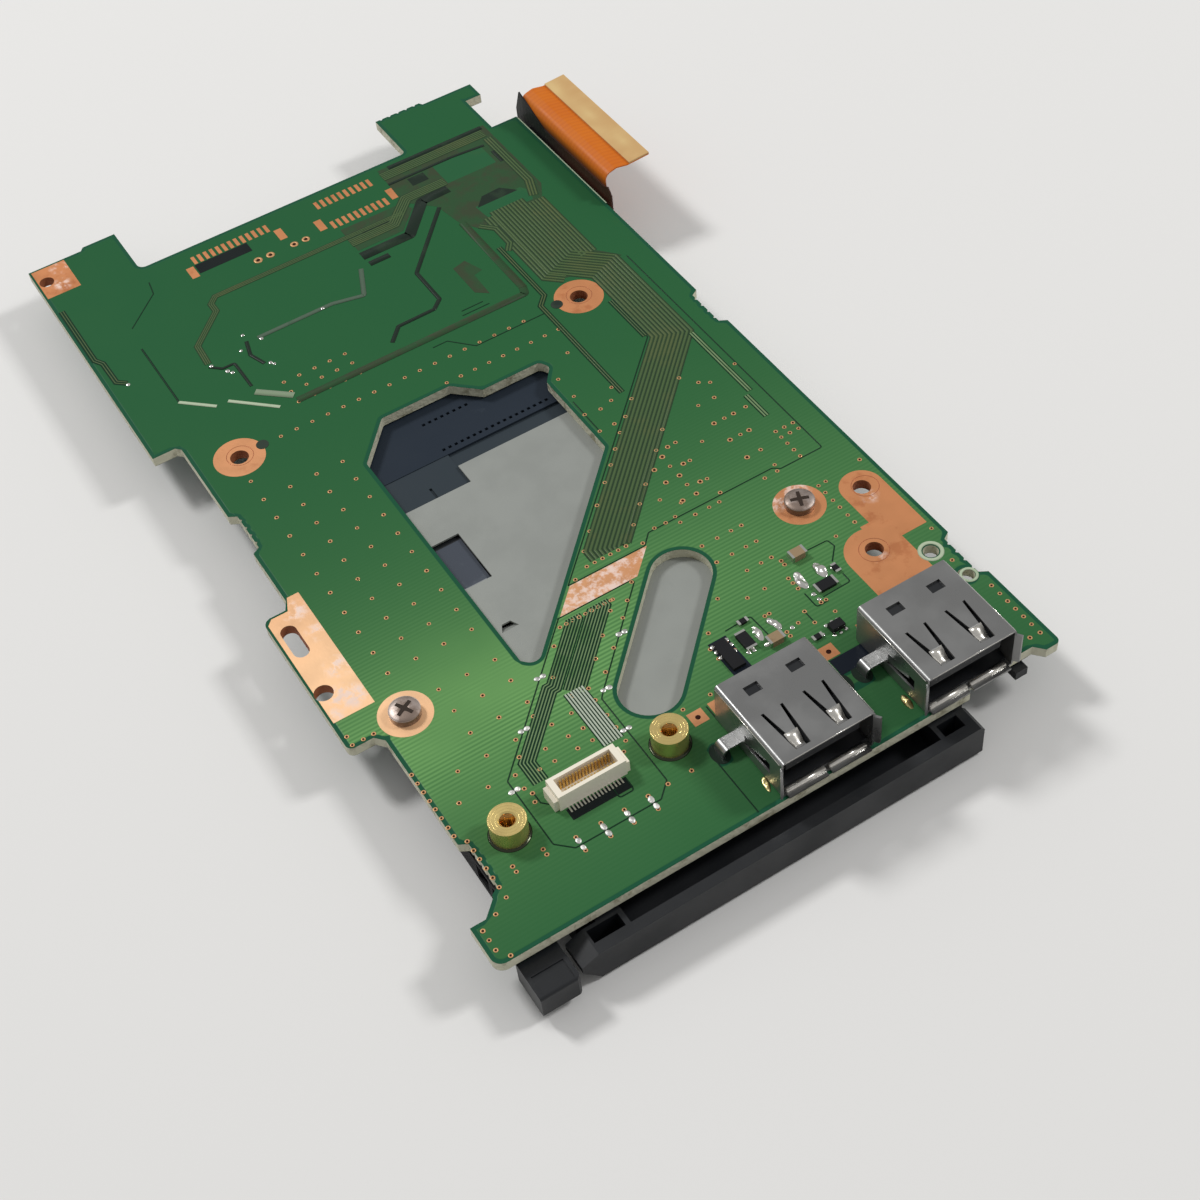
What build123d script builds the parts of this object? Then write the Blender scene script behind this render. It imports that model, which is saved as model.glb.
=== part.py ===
from build123d import *
from math import asin, degrees, radians, sin
import os

# Card reader board: a laptop daughter board with two USB sockets on top and a
# card slot cage, with its blanking card and push ejector, hanging below it.
# All sizes are in millimetres. Plan places are measured from the board's front
# left corner, heights from the surface that the cage rails stand on.

# ---- heights -----------------------------------------------------------------
rail_height = 5.9
cover_sheet = 0.3
board_thickness = 1.6
copper_skin = 0.05

# ---- circuit board -------------------------------------------------------------
slot_width = 54.2
left_margin = 13.25
right_margin = 16.95
board_depth = 143.1
lug_reach = 10.9
lug_left = (9.8, 15.4)
lug_right_left = 64.3
lug_right_inset = 4.8
shoulder_inset = 2.9
hook_width = 3.0
hook_depth = 3.8
hook_inset = 4.5
waist_front = 65.4
waist_back = 101.8
waist_step = 4.3
tab_front = 37.9
front_step = 4.7
foot_depth = 6.4
toe_left = 69.8
toe_right_inset = 2.4
toe_recess = 1.2
break_length = 8.6
break_depth = 1.15
break_slant = 0.7
bite_radius = 0.3
corner_radius = 1.5

window_left = 25.4
window_right = 55.2
window_front = 36.8
window_back = 89.0
window_ear = 2.1
window_step = 3.7
slot_centre = (43.9, 31.0)
slot_travel = 19.8
slot_radius = 4.3

# ---- holes and copper ---------------------------------------------------------
ring_row = 94.35
ring_left = 10.7
ring_pitch = 58.3
ring_radius = 3.9
ring_hole = 1.4
screw_row = 38.85
screw_outset = (2.45, 1.65)
screw_ring = 3.75
screw_hole = 1.2
patch_inset = 4.4
patch_rows = (36.5, 26.3)
patch_shift = 5.5
patch_hole = 1.3
edge_holes = ((4.0, 21.6, 1.1), (2.8, 15.6, 1.2))
patch_lobes = (3.2, 4.5)
tab_slot_place = (2.2, 58.2)
tab_slot_length = 6.2
tab_slot_width = 2.3
tab_hole_place = (1.5, 48.1)
tab_hole = 1.35
corner_hole_inset = (1.7, 4.65)
corner_hole = 1.2

# ---- USB sockets ----------------------------------------------------------------
usb_width = 14.0
usb_height = 7.0
usb_length = 14.5
usb_sheet = 0.3
usb_front = 0.45
usb_inset = 14.4
usb_pitch = 22.0
usb_corner = 0.55
lip_flare = 0.6
lip_split = 0.5
finger_offset = 3.1
finger_root = 7.6
finger_tip = 0.9
finger_root_width = 2.5
finger_tip_width = 1.4
finger_slit = 0.38
finger_dip = 0.9
finger_bend = 2.7
finger_fall = 1.6
port_offset = 3.2
port_place = 11.5
port_width = 2.1
port_length = 1.5
leg_place = 9.85
leg_width = 2.0
leg_reach = 2.5
leg_height = 1.5
leg_bend = 0.8
leg_slot_gap = 0.35
tongue_width = 11.1
tongue_thick = 1.9
tongue_lift = 3.4
blade_offsets = (-3.5, -1.0, 1.0, 3.5)
blade_width = 0.9
blade_sheet = 0.2
blade_front = 1.8
tail_opening = 9.0
base_height = 0.8
base_wall = 0.6
base_wall_place = 9.0
base_inset = 0.3

# ---- board to board connector and spacers ------------------------------------
mezzanine_place = (22.5, 16.0)
mezzanine_length = 9.8
mezzanine_width = 3.2
mezzanine_height = 2.9
mezzanine_mouth = (8.1, 2.2)
mezzanine_floor = 0.8
mezzanine_wing = 0.6
wing_inset = 0.25
wing_drop = 0.9
pin_count = 16
pin_pitch = 0.5
pin_width = 0.22
pin_sheet = 0.12
pin_reach = 0.95
spacer_row = 15.2
spacer_left = 10.8
spacer_pitch = 23.5
spacer_radius = 2.45
spacer_height = 3.2
spacer_thread = 1.0
spacer_mouth = 1.2

# ---- cage screws -------------------------------------------------------------
screw_radius = 1.0
screw_head = 2.15
screw_head_height = 1.0
screw_grip = 2.6
recess_width = 0.45
recess_depth = 0.5

# ---- cage ---------------------------------------------------------------------
rail_width = 2.0
rail_front = 0.9
rail_back = 90.0
rail_pockets = (14.0, 40.0, 66.0)
rail_pocket_length = 18.0
floor_lift = 0.9
floor_sheet = 0.3
floor_slot_row = 34.0
floor_slot_pitch = 15.0
floor_slot_count = 3
floor_slot_size = (3.0, 26.0)
cover_front = 3.0
cover_step = 36.6
cover_back_left = 71.4
cover_back_right = 75.2
cover_window = (24.6, 30.2, 54.0, 63.7)
lance_place = (27.6, 44.4)
lance_radius = 1.3
ear_width = 7.4
ear_sides = 8
boss_radius = 1.3
boss_depth = 1.0
roof_thick = 0.9
roof_drop = 0.4
roof_groove_left = 31.0
roof_groove_width = 0.4
roof_groove_inset = 4.4
header_front = 78.4
mouth_inset = 8.0
contact_pitch = 1.03
contact_rows = (79.6, 85.9)
contact_counts = (18, 8)
contact_left = 36.6
contact_port = 0.5
contact_width = 0.4

# ---- blanking card ------------------------------------------------------------
run_gap = 0.3
card_back = 72.4
card_step = 4.0
card_drop = 1.2
bar_outset = (4.15, 1.55)
bar_reach = 4.15
bar_depth = 4.0
bar_bottom = 0.5
bar_wall = 1.55
bar_floor = 1.2
bar_chamfer = 0.6
bar_bevel = 2.4
bar_nose = 1.1
rib_insets = (7.5, 5.4)
rib_width = 0.7
pocket_limit = 10.0
pan_count = 3
pan_front = 6.5
pan_pitch = 18.5
pan_depth = 15.0
pan_rim = 3.0
pan_floor = 1.0

# ---- ejector ------------------------------------------------------------------
button_centre = 5.55
button_width = 5.6
button_reach = 5.3
button_length = 5.9
button_height = 4.0
button_bottom = 1.4
button_inlay = 0.15
rod_centre = 7.35
rod_width = 1.9
rod_height = 2.3
rod_bottom = 2.2
rod_end = 78.6
rod_travel = 4.0
rod_reliefs = (24.0, 44.0, 62.0)
relief_length = 14.0
relief_height = 1.6
channel_sheet = 0.4
channel_stretches = ((6.8, 33.0), (50.0, 62.0))
channel_windows = ((8.5, 3.0), (12.4, 3.0))
pin_radius = 0.6
lever_bottom = 0.3
lever_sheet = 0.3
lever_width = 4.4
lever_row = 77.0
pivot_place = 24.0
push_place = 40.0
push_setback = 3.8
push_width = 2.0
push_sheet = 0.5
push_slot_gap = 0.9
rivet_radius = 0.9
rivet_head = 1.9
rivet_gap = 0.85

# ---- slide switch --------------------------------------------------------------
switch_inset = 6.95
switch_length = 8.6
switch_front = 2.6
switch_depth = 3.8
switch_height = 2.6
knob_width = 1.9
knob_height = 1.4
knob_reach = 2.4
knob_offset = 1.1
knob_travel = 2.0
slider_width = 2.9
slider_depth = 1.0
slider_height = 1.8
switch_leg = 0.5
switch_leg_pitch = 2.5
switch_foot = 1.2
leg_sheet = 0.2

# ---- film cable ------------------------------------------------------------------
film_inset = 28.0
film_width = 26.8
film_sheet = 0.2
film_gap = 0.9
film_crest = 4.9
film_tail = 8.4
film_radius = 1.3
stiffener_start = 4.6
stiffener_sheet = 0.25
guard_sheet = 0.25
guard_overlap = (2.0, 1.9)
guard_height = 5.2
film_socket_inset = 0.8
film_socket_depth = 6.2
film_socket_height = 2.0
film_socket_margin = 1.3
latch_depth = 1.4

# ---- small parts on the board ----------------------------------------------------
resistor_size = (3.2, 1.6, 0.55)
resistor_places = ((51.3, 23.2, 90), (65.4, 24.9, 0))
capacitor_size = (2.4, 1.5, 1.1)
capacitor_places = ((54.5, 21.0, 0), (65.3, 31.3, 0))
chip_size = (1.6, 0.8, 0.45)
chip_places = ((52.8, 26.1, 0), (68.2, 26.5, 90), (59.3, 18.3, 0))
terminal_length = 0.35
package_places = ((48.2, 22.5, 1.9, 5.0, 0.6), (62.3, 18.3, 2.0, 1.3, 0.9))

# ---- worked out heights and places -----------------------------------------------
underside = rail_height + cover_sheet
top = underside + board_thickness
cover_bottom = rail_height
board_width = left_margin + slot_width + right_margin
lug_depth = board_depth + lug_reach
back_shoulder = board_depth - shoulder_inset
slot_left = left_margin
slot_right = slot_left + slot_width
cage_centre = (slot_left + slot_right) / 2
cage_left = slot_left - rail_width
cage_right = slot_right + rail_width
screw_places = (cage_left - screw_outset[0], cage_right + screw_outset[1])
floor_top = floor_lift + floor_sheet
film_front = back_shoulder - film_inset
bar_front = -bar_reach
button_front = -button_reach
film_rise = board_width + film_gap
film_reach = film_rise + film_tail
lug_right_right = board_width - lug_right_inset
toe_right = board_width - toe_right_inset
centre_x = film_reach / 2
centre_y = (lug_depth + button_front) / 2


def level(height):
    """Horizontal plane at a height, with board plan places as its coordinates."""
    return Plane((-centre_x, -centre_y, height))


def across(y):
    """Upright plane across the board at y, facing forwards: x right, z up."""
    return Plane((-centre_x, y - centre_y, 0), x_dir=(1, 0, 0), z_dir=(0, -1, 0))


def along(x):
    """Upright plane along the board at x, facing right: y backwards, z up."""
    return Plane((x - centre_x, -centre_y, 0), x_dir=(0, 1, 0), z_dir=(1, 0, 0))


def block(x0, x1, y0, y1, z0, z1, mode=Mode.ADD):
    """Box between two corners, in board places."""
    with BuildSketch(level(z0)) as outline:
        with Locations(((x0 + x1) / 2, (y0 + y1) / 2)):
            Rectangle(x1 - x0, y1 - y0)
    extrude(outline.sketch, amount=z1 - z0, mode=mode)


def post(x, y, radius, z0, z1, mode=Mode.ADD):
    """Upright cylinder between two heights."""
    with BuildSketch(level(z0)) as outline:
        with Locations((x, y)):
            Circle(radius)
    extrude(outline.sketch, amount=z1 - z0, mode=mode)


def finish(name, part):
    """Label a piece and write it."""
    part.label = name
    export_step(part, f"parts/{name}.step")


os.makedirs("parts", exist_ok=True)

# ---- circuit board -----------------------------------------------------------------
lug_shoulder = lug_depth - 0.7
hook_back = lug_depth - hook_inset
lug_inner = lug_right_left + 8.5
board_corners = [
    (0.2, 0, corner_radius), (toe_left, 0, 0), (toe_left, toe_recess, 0), (toe_right - 1.2, toe_recess, 0),
    (toe_right, -0.2, 0), (board_width, -0.2, 0.8), (board_width, back_shoulder, 0),
    (lug_right_right, back_shoulder, 0), (lug_right_right, hook_back, 0),
    (lug_right_right + hook_width, hook_back, 0), (lug_right_right + hook_width, hook_back + hook_depth, 0),
    (lug_inner + 0.4, lug_shoulder, 0), (lug_inner, lug_depth, 0), (lug_right_left, lug_depth, 0),
    (lug_right_left, board_depth, 0.8), (lug_left[1], board_depth, 1.2), (lug_left[1], lug_depth, 0),
    (lug_left[0], lug_depth, 0), (lug_left[0] - 0.6, lug_shoulder, 0), (0, lug_shoulder, 0),
    (0, waist_back, 0), (waist_step - 0.7, waist_back, 0), (waist_step, waist_back - 0.8, 0),
    (waist_step, waist_front, 0), (waist_step - 0.8, waist_front - 1.5, 0), (0, waist_front - 1.5, 1.3),
    (0, tab_front, 1.0), (front_step - 1.1, tab_front, 0), (front_step, tab_front - 1.3, 0),
    (front_step, foot_depth + 2.2, 1.4), (front_step - 2.3, foot_depth, 0), (0.2, foot_depth, 0),
]
notch_places = (
    (front_step, 13.2, 1), (waist_step, 80.2, 1), (board_width, 18.7, -1), (board_width, 80.4, -1),
)
window_corners = [
    (window_left, window_back - 7, 0.8), (window_left + 6.1, window_back, 0.8),
    (window_right - 12.2, window_back, 0), (window_right - 8.5, window_back - window_step, 0),
    (window_right + window_ear - 0.9, window_back - window_step, 0.8),
    (window_right + window_ear, window_back - window_step - 1.7, 1.0),
    (window_right, window_back - 8.1, 0.8), (window_right, window_front + 27.6, 0.8),
    (window_left + 1.7, window_front - 1.0, 1.5), (window_left, window_front + 0.9, 0),
]
usb_right = board_width - usb_inset
usb_centres = (usb_right - usb_pitch, usb_right)
patch_places = (
    (board_width - patch_inset, patch_rows[0]), (board_width - patch_inset - patch_shift, patch_rows[1])
)
corner_place = (corner_hole_inset[0], lug_depth - corner_hole_inset[1])
leg_row = usb_front + leg_place
leg_spread = usb_width / 2 + leg_reach
blade_tail = usb_front + usb_length - 1.3
with BuildPart() as circuit_board:
    with BuildSketch(level(underside)):
        with BuildLine():
            FilletPolyline(
                [(x, y) for x, y, _ in board_corners], radius=[r for _, _, r in board_corners], close=True
            )
        make_face()
        for edge_x, edge_y, inward in notch_places:
            reach = inward * break_depth
            outer_half = break_length / 2 + break_slant
            inner_half = break_length / 2 - break_slant
            with BuildLine():
                Polyline(
                    (edge_x - reach, edge_y - outer_half), (edge_x + reach, edge_y - inner_half),
                    (edge_x + reach, edge_y + inner_half), (edge_x - reach, edge_y + outer_half), close=True,
                )
            make_face(mode=Mode.SUBTRACT)
            with Locations((edge_x + reach, edge_y)):
                with GridLocations(0, break_length / 5, 1, 4):
                    RegularPolygon(bite_radius, 4, mode=Mode.SUBTRACT)
        with Locations(((lug_right_left + lug_inner) / 2, lug_depth)):
            with GridLocations(1.6, 0, 5, 1):
                RegularPolygon(bite_radius, 4, mode=Mode.SUBTRACT)
        with BuildLine():
            FilletPolyline(
                [(x, y) for x, y, _ in window_corners], radius=[r for _, _, r in window_corners], close=True
            )
        make_face(mode=Mode.SUBTRACT)
        with Locations(slot_centre):
            SlotCenterToCenter(slot_travel, 2 * slot_radius, rotation=45, mode=Mode.SUBTRACT)
        with Locations((ring_left, ring_row), (ring_left + ring_pitch, ring_row)):
            Circle(ring_hole, mode=Mode.SUBTRACT)
        with Locations([(x, screw_row) for x in screw_places]):
            Circle(screw_hole, mode=Mode.SUBTRACT)
        with Locations(patch_places):
            Circle(patch_hole, mode=Mode.SUBTRACT)
        for inset, y, radius in edge_holes:
            with Locations((board_width - inset, y)):
                Circle(radius, mode=Mode.SUBTRACT)
        with Locations(tab_slot_place):
            SlotOverall(tab_slot_length, tab_slot_width, rotation=90, mode=Mode.SUBTRACT)
        with Locations(tab_hole_place):
            Circle(tab_hole, mode=Mode.SUBTRACT)
        with Locations(corner_place):
            Circle(corner_hole, mode=Mode.SUBTRACT)
        for centre in usb_centres:
            with Locations((centre - leg_spread, leg_row), (centre + leg_spread, leg_row)):
                Rectangle(usb_sheet + 2 * leg_slot_gap, leg_width + 2 * leg_slot_gap, mode=Mode.SUBTRACT)
            with Locations([(centre + offset, blade_tail) for offset in blade_offsets]):
                Rectangle(blade_width, blade_sheet, mode=Mode.SUBTRACT)
    extrude(amount=board_thickness)
finish("circuit_board", circuit_board.part)

# ---- copper lands -------------------------------------------------------------------
tab_pad_width = 6.4
strip_corners = ((33.5, 41.0), (45.8, 41.0), (49.8, 44.9), (37.4, 44.9))
pad_size = (0.6, 2.0)
pad_rows = ((23.5, 3.6), (45.9, 3.4), (45.9, 9.5))
pad_counts = (13, 10, 10)
pad_pitch = 1.08
anchor_size = (1.3, 2.9)
anchor_insets = ((22.1, 6.3), (37.8, 6.3), (44.1, 8.3), (57.4, 8.3))
square_size = 2.2
square_places = ((39.4, 16.6), (42.6, 16.6), (59.1, 15.6), (65.6, 16.1))
edge_rim = 0.35
corner_pad = (6.4, 8.4)
with BuildPart() as copper_lands:
    with BuildSketch(level(top)):
        with Locations((ring_left, ring_row), (ring_left + ring_pitch, ring_row)):
            Circle(ring_radius)
            Circle(ring_hole, mode=Mode.SUBTRACT)
        with Locations([(x, screw_row) for x in screw_places]):
            Circle(screw_ring)
            Circle(screw_hole, mode=Mode.SUBTRACT)
        with BuildLine():
            Polyline(
                (edge_rim, tab_front + 5), (tab_pad_width, tab_front + 5), (tab_pad_width, waist_front + 0.4),
                (waist_step + edge_rim, waist_front + 0.4), (waist_step - 0.6, waist_front - 1.5 - edge_rim),
                (1.2, waist_front - 1.5 - edge_rim), (edge_rim, waist_front - 2.7), close=True,
            )
        make_face()
        with Locations(tab_slot_place):
            SlotOverall(tab_slot_length, tab_slot_width, rotation=90, mode=Mode.SUBTRACT)
        with Locations(tab_hole_place):
            Circle(tab_hole, mode=Mode.SUBTRACT)
        with Locations((corner_pad[0] / 2, lug_shoulder - corner_pad[1] / 2)):
            Rectangle(corner_pad[0] - 2 * edge_rim, corner_pad[1] - 2 * edge_rim)
        with Locations(corner_place):
            Circle(corner_hole, mode=Mode.SUBTRACT)
        (upper_x, upper_y), (lower_x, lower_y) = patch_places
        upper, lower = patch_lobes
        with Locations((upper_x, upper_y)):
            Circle(upper)
            Rectangle(2 * upper, upper_y - lower_y, align=(Align.CENTER, Align.MAX))
        with Locations((lower_x, lower_y - 0.6)):
            Circle(lower)
            Rectangle(2 * lower, lower + 1.8, align=(Align.CENTER, Align.MAX))
        with Locations((upper_x + upper, lower_y - 0.2)):
            Rectangle(2 * upper + 1.5, lower, align=(Align.MAX, Align.MIN))
        with Locations(patch_places):
            Circle(patch_hole, mode=Mode.SUBTRACT)
        with BuildLine():
            Polyline(*strip_corners, close=True)
        make_face()
        for (x, inset), count in zip(pad_rows, pad_counts):
            with Locations((x + pad_pitch * (count - 1) / 2, board_depth - inset)):
                with GridLocations(pad_pitch, 0, count, 1):
                    Rectangle(*pad_size)
        with Locations([(x, board_depth - inset) for x, inset in anchor_insets]):
            Rectangle(*anchor_size)
        with Locations(square_places):
            Rectangle(square_size, square_size)
    extrude(amount=copper_skin)
finish("copper_lands", copper_lands.part)

# ---- USB sockets ---------------------------------------------------------------------
def usb_shell(centre):
    """Folded steel shell: ports, spring fingers, flared lips and strap legs."""
    roof = top + usb_height
    middle = top + usb_height / 2
    back = usb_front + usb_length
    side = usb_width / 2
    inner_width = usb_width - 2 * usb_sheet
    inner_height = usb_height - 2 * usb_sheet
    tip = usb_front + finger_tip
    root = usb_front + finger_root
    bend = tip + finger_bend
    with BuildPart() as shell:
        with BuildSketch(across(back)):
            with Locations((centre, middle)):
                RectangleRounded(usb_width, usb_height, usb_corner)
                Rectangle(inner_width, inner_height, mode=Mode.SUBTRACT)
        extrude(amount=usb_length)
        with BuildSketch(level(roof - usb_sheet)):
            with Locations([(centre + way * port_offset, usb_front + port_place) for way in (-1, 1)]):
                Rectangle(port_width, port_length)
            for offset in (-finger_offset, finger_offset):
                wide = finger_root_width / 2 + finger_slit
                slim = finger_tip_width / 2 + finger_slit
                with BuildLine():
                    Polyline(
                        (centre + offset - wide, root), (centre + offset - slim, tip),
                        (centre + offset + slim, tip), (centre + offset + wide, root), close=True,
                    )
                make_face()
        extrude(amount=usb_sheet, mode=Mode.SUBTRACT)
        block(centre - tail_opening / 2, centre + tail_opening / 2, blade_tail - 1.0, back,
              top, top + usb_sheet, mode=Mode.SUBTRACT)
        with BuildSketch(along(centre - side)):
            with Locations((usb_front + 5.2, middle - 0.2)):
                Rectangle(5.4, 2.0)
        extrude(amount=usb_width, mode=Mode.SUBTRACT)
        for offset in (-finger_offset, finger_offset):
            with BuildSketch(level(roof - usb_sheet)):
                with BuildLine():
                    Polyline(
                        (centre + offset - finger_root_width / 2, root + 0.1),
                        (centre + offset - finger_tip_width / 2, bend),
                        (centre + offset + finger_tip_width / 2, bend),
                        (centre + offset + finger_root_width / 2, root + 0.1), close=True,
                    )
                make_face()
            extrude(amount=usb_sheet)
            with BuildSketch(along(centre + offset - finger_tip_width / 2)):
                with BuildLine():
                    Polyline(
                        (bend, roof), (bend - finger_fall, roof - finger_dip),
                        (tip + 0.4, roof - finger_dip + 0.3), (tip + 0.4, roof - finger_dip),
                        (bend - finger_fall - 0.1, roof - finger_dip - 0.3),
                        (bend, roof - usb_sheet), close=True,
                    )
                make_face()
            extrude(amount=finger_tip_width)
        for way in (-1, 1):
            face = centre + way * side
            with BuildSketch(level(middle - 0.8)):
                with BuildLine():
                    Polyline(
                        (face, usb_front + 8.0), (face - way * usb_sheet, usb_front + 8.0),
                        (face - way * 0.8, usb_front + 4.3), (face - way * 0.5, usb_front + 4.2), close=True,
                    )
                make_face()
            extrude(amount=1.2)
            with BuildSketch(level(top + 0.9)):
                with BuildLine():
                    Polyline(
                        (face, usb_front + usb_sheet), (face + way * lip_flare, usb_front - lip_flare),
                        (face + way * lip_flare - way * usb_sheet, usb_front - lip_flare - 0.1),
                        (face - way * usb_sheet, usb_front), (face - way * usb_sheet, usb_front + usb_sheet),
                        close=True,
                    )
                make_face()
            extrude(amount=usb_height - 1.8)
            with BuildSketch(along(centre + way * (lip_split / 2 + (side - usb_corner) / 2 - 0.2))):
                with BuildLine():
                    Polyline(
                        (usb_front + 0.4, top), (usb_front - lip_flare, top),
                        (usb_front - lip_flare, top + usb_sheet), (usb_front + 0.4, top + usb_sheet),
                        close=True,
                    )
                make_face()
            extrude(amount=(side - usb_corner - lip_split) / 2, both=True)
            knee = face + way * leg_reach
            leg_root = (face - way * usb_sheet / 2, top + leg_height)
            with BuildSketch(across(leg_row + leg_width / 2)):
                with BuildLine():
                    FilletPolyline(leg_root, (knee, top + leg_height), (knee, underside), radius=leg_bend)
                trace(line_width=usb_sheet)
            extrude(amount=leg_width)
    return shell.part


def usb_insulator(centre):
    """Moulded body behind and below the tongue that carries the four contacts."""
    inner = usb_width / 2 - usb_corner
    end = usb_front + usb_length - base_inset
    wall = usb_front + base_wall_place
    with BuildPart() as insulator:
        block(centre - tongue_width / 2, centre + tongue_width / 2, usb_front + 1.2, wall,
              top + tongue_lift, top + tongue_lift + tongue_thick)
        block(centre - inner, centre + inner, wall, end, top + tongue_lift, top + usb_height - usb_sheet)
        block(centre - inner, centre + inner, usb_front + 0.9, end, top + usb_sheet, top + base_height)
        for middle in (centre - inner + base_wall / 2, centre + inner - base_wall / 2):
            left = middle - base_wall / 2
            block(left, left + base_wall, wall, end, top + base_height, top + tongue_lift)
        for offset in blade_offsets:
            block(centre + offset - blade_width / 2, centre + offset + blade_width / 2,
                  blade_tail - blade_sheet / 2, end, top + usb_sheet, top + base_height, mode=Mode.SUBTRACT)
    return insulator.part


def usb_contacts(centre):
    """Four bent contact blades under the tongue with tails through the board."""
    blade_top = top + tongue_lift
    with BuildPart() as contacts:
        for offset in blade_offsets:
            left = centre + offset - blade_width / 2
            right = centre + offset + blade_width / 2
            tail_front = blade_tail - blade_sheet / 2
            tail_back = blade_tail + blade_sheet / 2
            block(left, right, usb_front + blade_front, tail_back, blade_top - blade_sheet, blade_top)
            block(left, right, tail_front, tail_back, underside, blade_top)
    return contacts.part


for side_name, usb_centre in zip(("left", "right"), usb_centres):
    finish(f"usb_shell_{side_name}", usb_shell(usb_centre))
    finish(f"usb_insulator_{side_name}", usb_insulator(usb_centre))
    finish(f"usb_contacts_{side_name}", usb_contacts(usb_centre))

# ---- board to board connector ----------------------------------------------------------
mezz_x, mezz_y = mezzanine_place
mezz_roof = top + mezzanine_height
with BuildPart() as board_connector_housing:
    with BuildSketch(level(top)):
        with Locations(mezzanine_place):
            Rectangle(mezzanine_length, mezzanine_width)
    extrude(amount=mezzanine_height)
    with BuildSketch(level(top)):
        with Locations(mezzanine_place):
            Rectangle(mezzanine_length + 2 * mezzanine_wing, mezzanine_width - 2 * wing_inset)
    extrude(amount=mezzanine_height - wing_drop)
    with BuildSketch(level(mezz_roof)):
        with Locations(mezzanine_place):
            Rectangle(*mezzanine_mouth)
    extrude(amount=mezzanine_floor - mezzanine_height, mode=Mode.SUBTRACT)
finish("board_connector_housing", board_connector_housing.part)

with BuildPart() as board_connector_pins:
    for way in (-1, 1):
        with BuildSketch(level(top)):
            with Locations((mezz_x, mezz_y + way * (mezzanine_width + pin_reach) / 2)):
                with GridLocations(pin_pitch, 0, pin_count, 1):
                    Rectangle(pin_width, pin_reach)
        extrude(amount=pin_sheet)
finish("board_connector_pins", board_connector_pins.part)

# ---- threaded spacers --------------------------------------------------------------------
for side_name, x in (("left", spacer_left), ("right", spacer_left + spacer_pitch)):
    with BuildPart() as spacer:
        post(x, spacer_row, spacer_radius, top, top + spacer_height)
        post(x, spacer_row, spacer_thread, top, top + spacer_height, mode=Mode.SUBTRACT)
        rim = spacer.edges().filter_by(GeomType.CIRCLE).group_by(Axis.Z)[-1]
        chamfer(rim.sort_by(SortBy.RADIUS)[0], length=spacer_mouth - spacer_thread)
    finish(f"spacer_{side_name}", spacer.part)

# ---- cage screws ------------------------------------------------------------------------
screw_seat = top + copper_skin
with BuildPart() as cage_screws:
    for x in screw_places:
        post(x, screw_row, screw_head, screw_seat, screw_seat + screw_head_height)
    with BuildSketch(level(screw_seat + screw_head_height)):
        with Locations([(x, screw_row) for x in screw_places]):
            Rectangle(1.3 * screw_head, recess_width)
            Rectangle(recess_width, 1.3 * screw_head)
    extrude(amount=-recess_depth, mode=Mode.SUBTRACT)
    for x in screw_places:
        post(x, screw_row, screw_radius, screw_seat - screw_grip, screw_seat)
finish("cage_screws", cage_screws.part)

# ---- cage cover --------------------------------------------------------------------------
window_x0, window_x1, window_y0, window_y1 = cover_window
lance_x, lance_y = lance_place
with BuildPart() as cage_cover:
    with BuildSketch(level(cover_bottom)):
        with BuildLine():
            Polyline(
                (cage_left, cover_front), (cage_right, cover_front), (cage_right, cover_back_right),
                (cover_step, cover_back_right), (cover_step, cover_back_left), (cage_left, cover_back_left),
                close=True,
            )
        make_face()
        for x in screw_places:
            edge = cage_left if x < cage_centre else cage_right
            with Locations(((x + edge) / 2, screw_row)):
                Rectangle(abs(x - edge), ear_width)
            with Locations((x, screw_row)):
                RegularPolygon(ear_width / 2, ear_sides)
        with Locations(((window_x0 + window_x1) / 2, (window_y0 + window_y1) / 2)):
            Rectangle(window_x1 - window_x0, window_y1 - window_y0, mode=Mode.SUBTRACT)
        with BuildLine():
            Polyline(
                (lance_x - lance_radius, lance_y), (lance_x + lance_radius, lance_y),
                (lance_x + lance_radius / 2, lance_y + lance_radius),
                (lance_x - lance_radius / 2, lance_y + lance_radius), close=True,
            )
        make_face(mode=Mode.SUBTRACT)
    extrude(amount=cover_sheet)
    for x in screw_places:
        post(x, screw_row, boss_radius, cover_bottom - boss_depth, cover_bottom)
        post(x, screw_row, screw_radius, cover_bottom - boss_depth, underside, mode=Mode.SUBTRACT)
    block(window_x0, window_x1, window_y0 - cover_sheet, window_y0, cover_bottom - 1.6, cover_bottom)
    with BuildSketch(along(lance_x - lance_radius)):
        with BuildLine():
            Polyline(
                (lance_y - 0.1, underside), (lance_y + 1.4, cover_bottom - 0.6),
                (lance_y + 1.4, cover_bottom - 0.9), (lance_y - 0.1, cover_bottom), close=True,
            )
        make_face()
    extrude(amount=2 * lance_radius)
finish("cage_cover", cage_cover.part)

# ---- cage rails, floor and roof ------------------------------------------------------------
for side_name, outer, inner in (("left", cage_left, slot_left), ("right", slot_right, cage_right)):
    with BuildPart() as rail:
        block(outer, inner, rail_front, rail_back, 0, rail_height)
        with BuildSketch(level(rail_height)):
            for place in rail_pockets:
                with Locations(((outer + inner) / 2, rail_front + place)):
                    Rectangle(rail_width / 2, rail_pocket_length)
        extrude(amount=-rail_height / 3, mode=Mode.SUBTRACT)
        if side_name == "left":
            block(outer, inner, lever_row - lever_width / 2 - 0.6, lever_row + lever_width / 2 + rod_travel,
                  0, floor_lift, mode=Mode.SUBTRACT)
    finish(f"cage_rail_{side_name}", rail.part)

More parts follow.
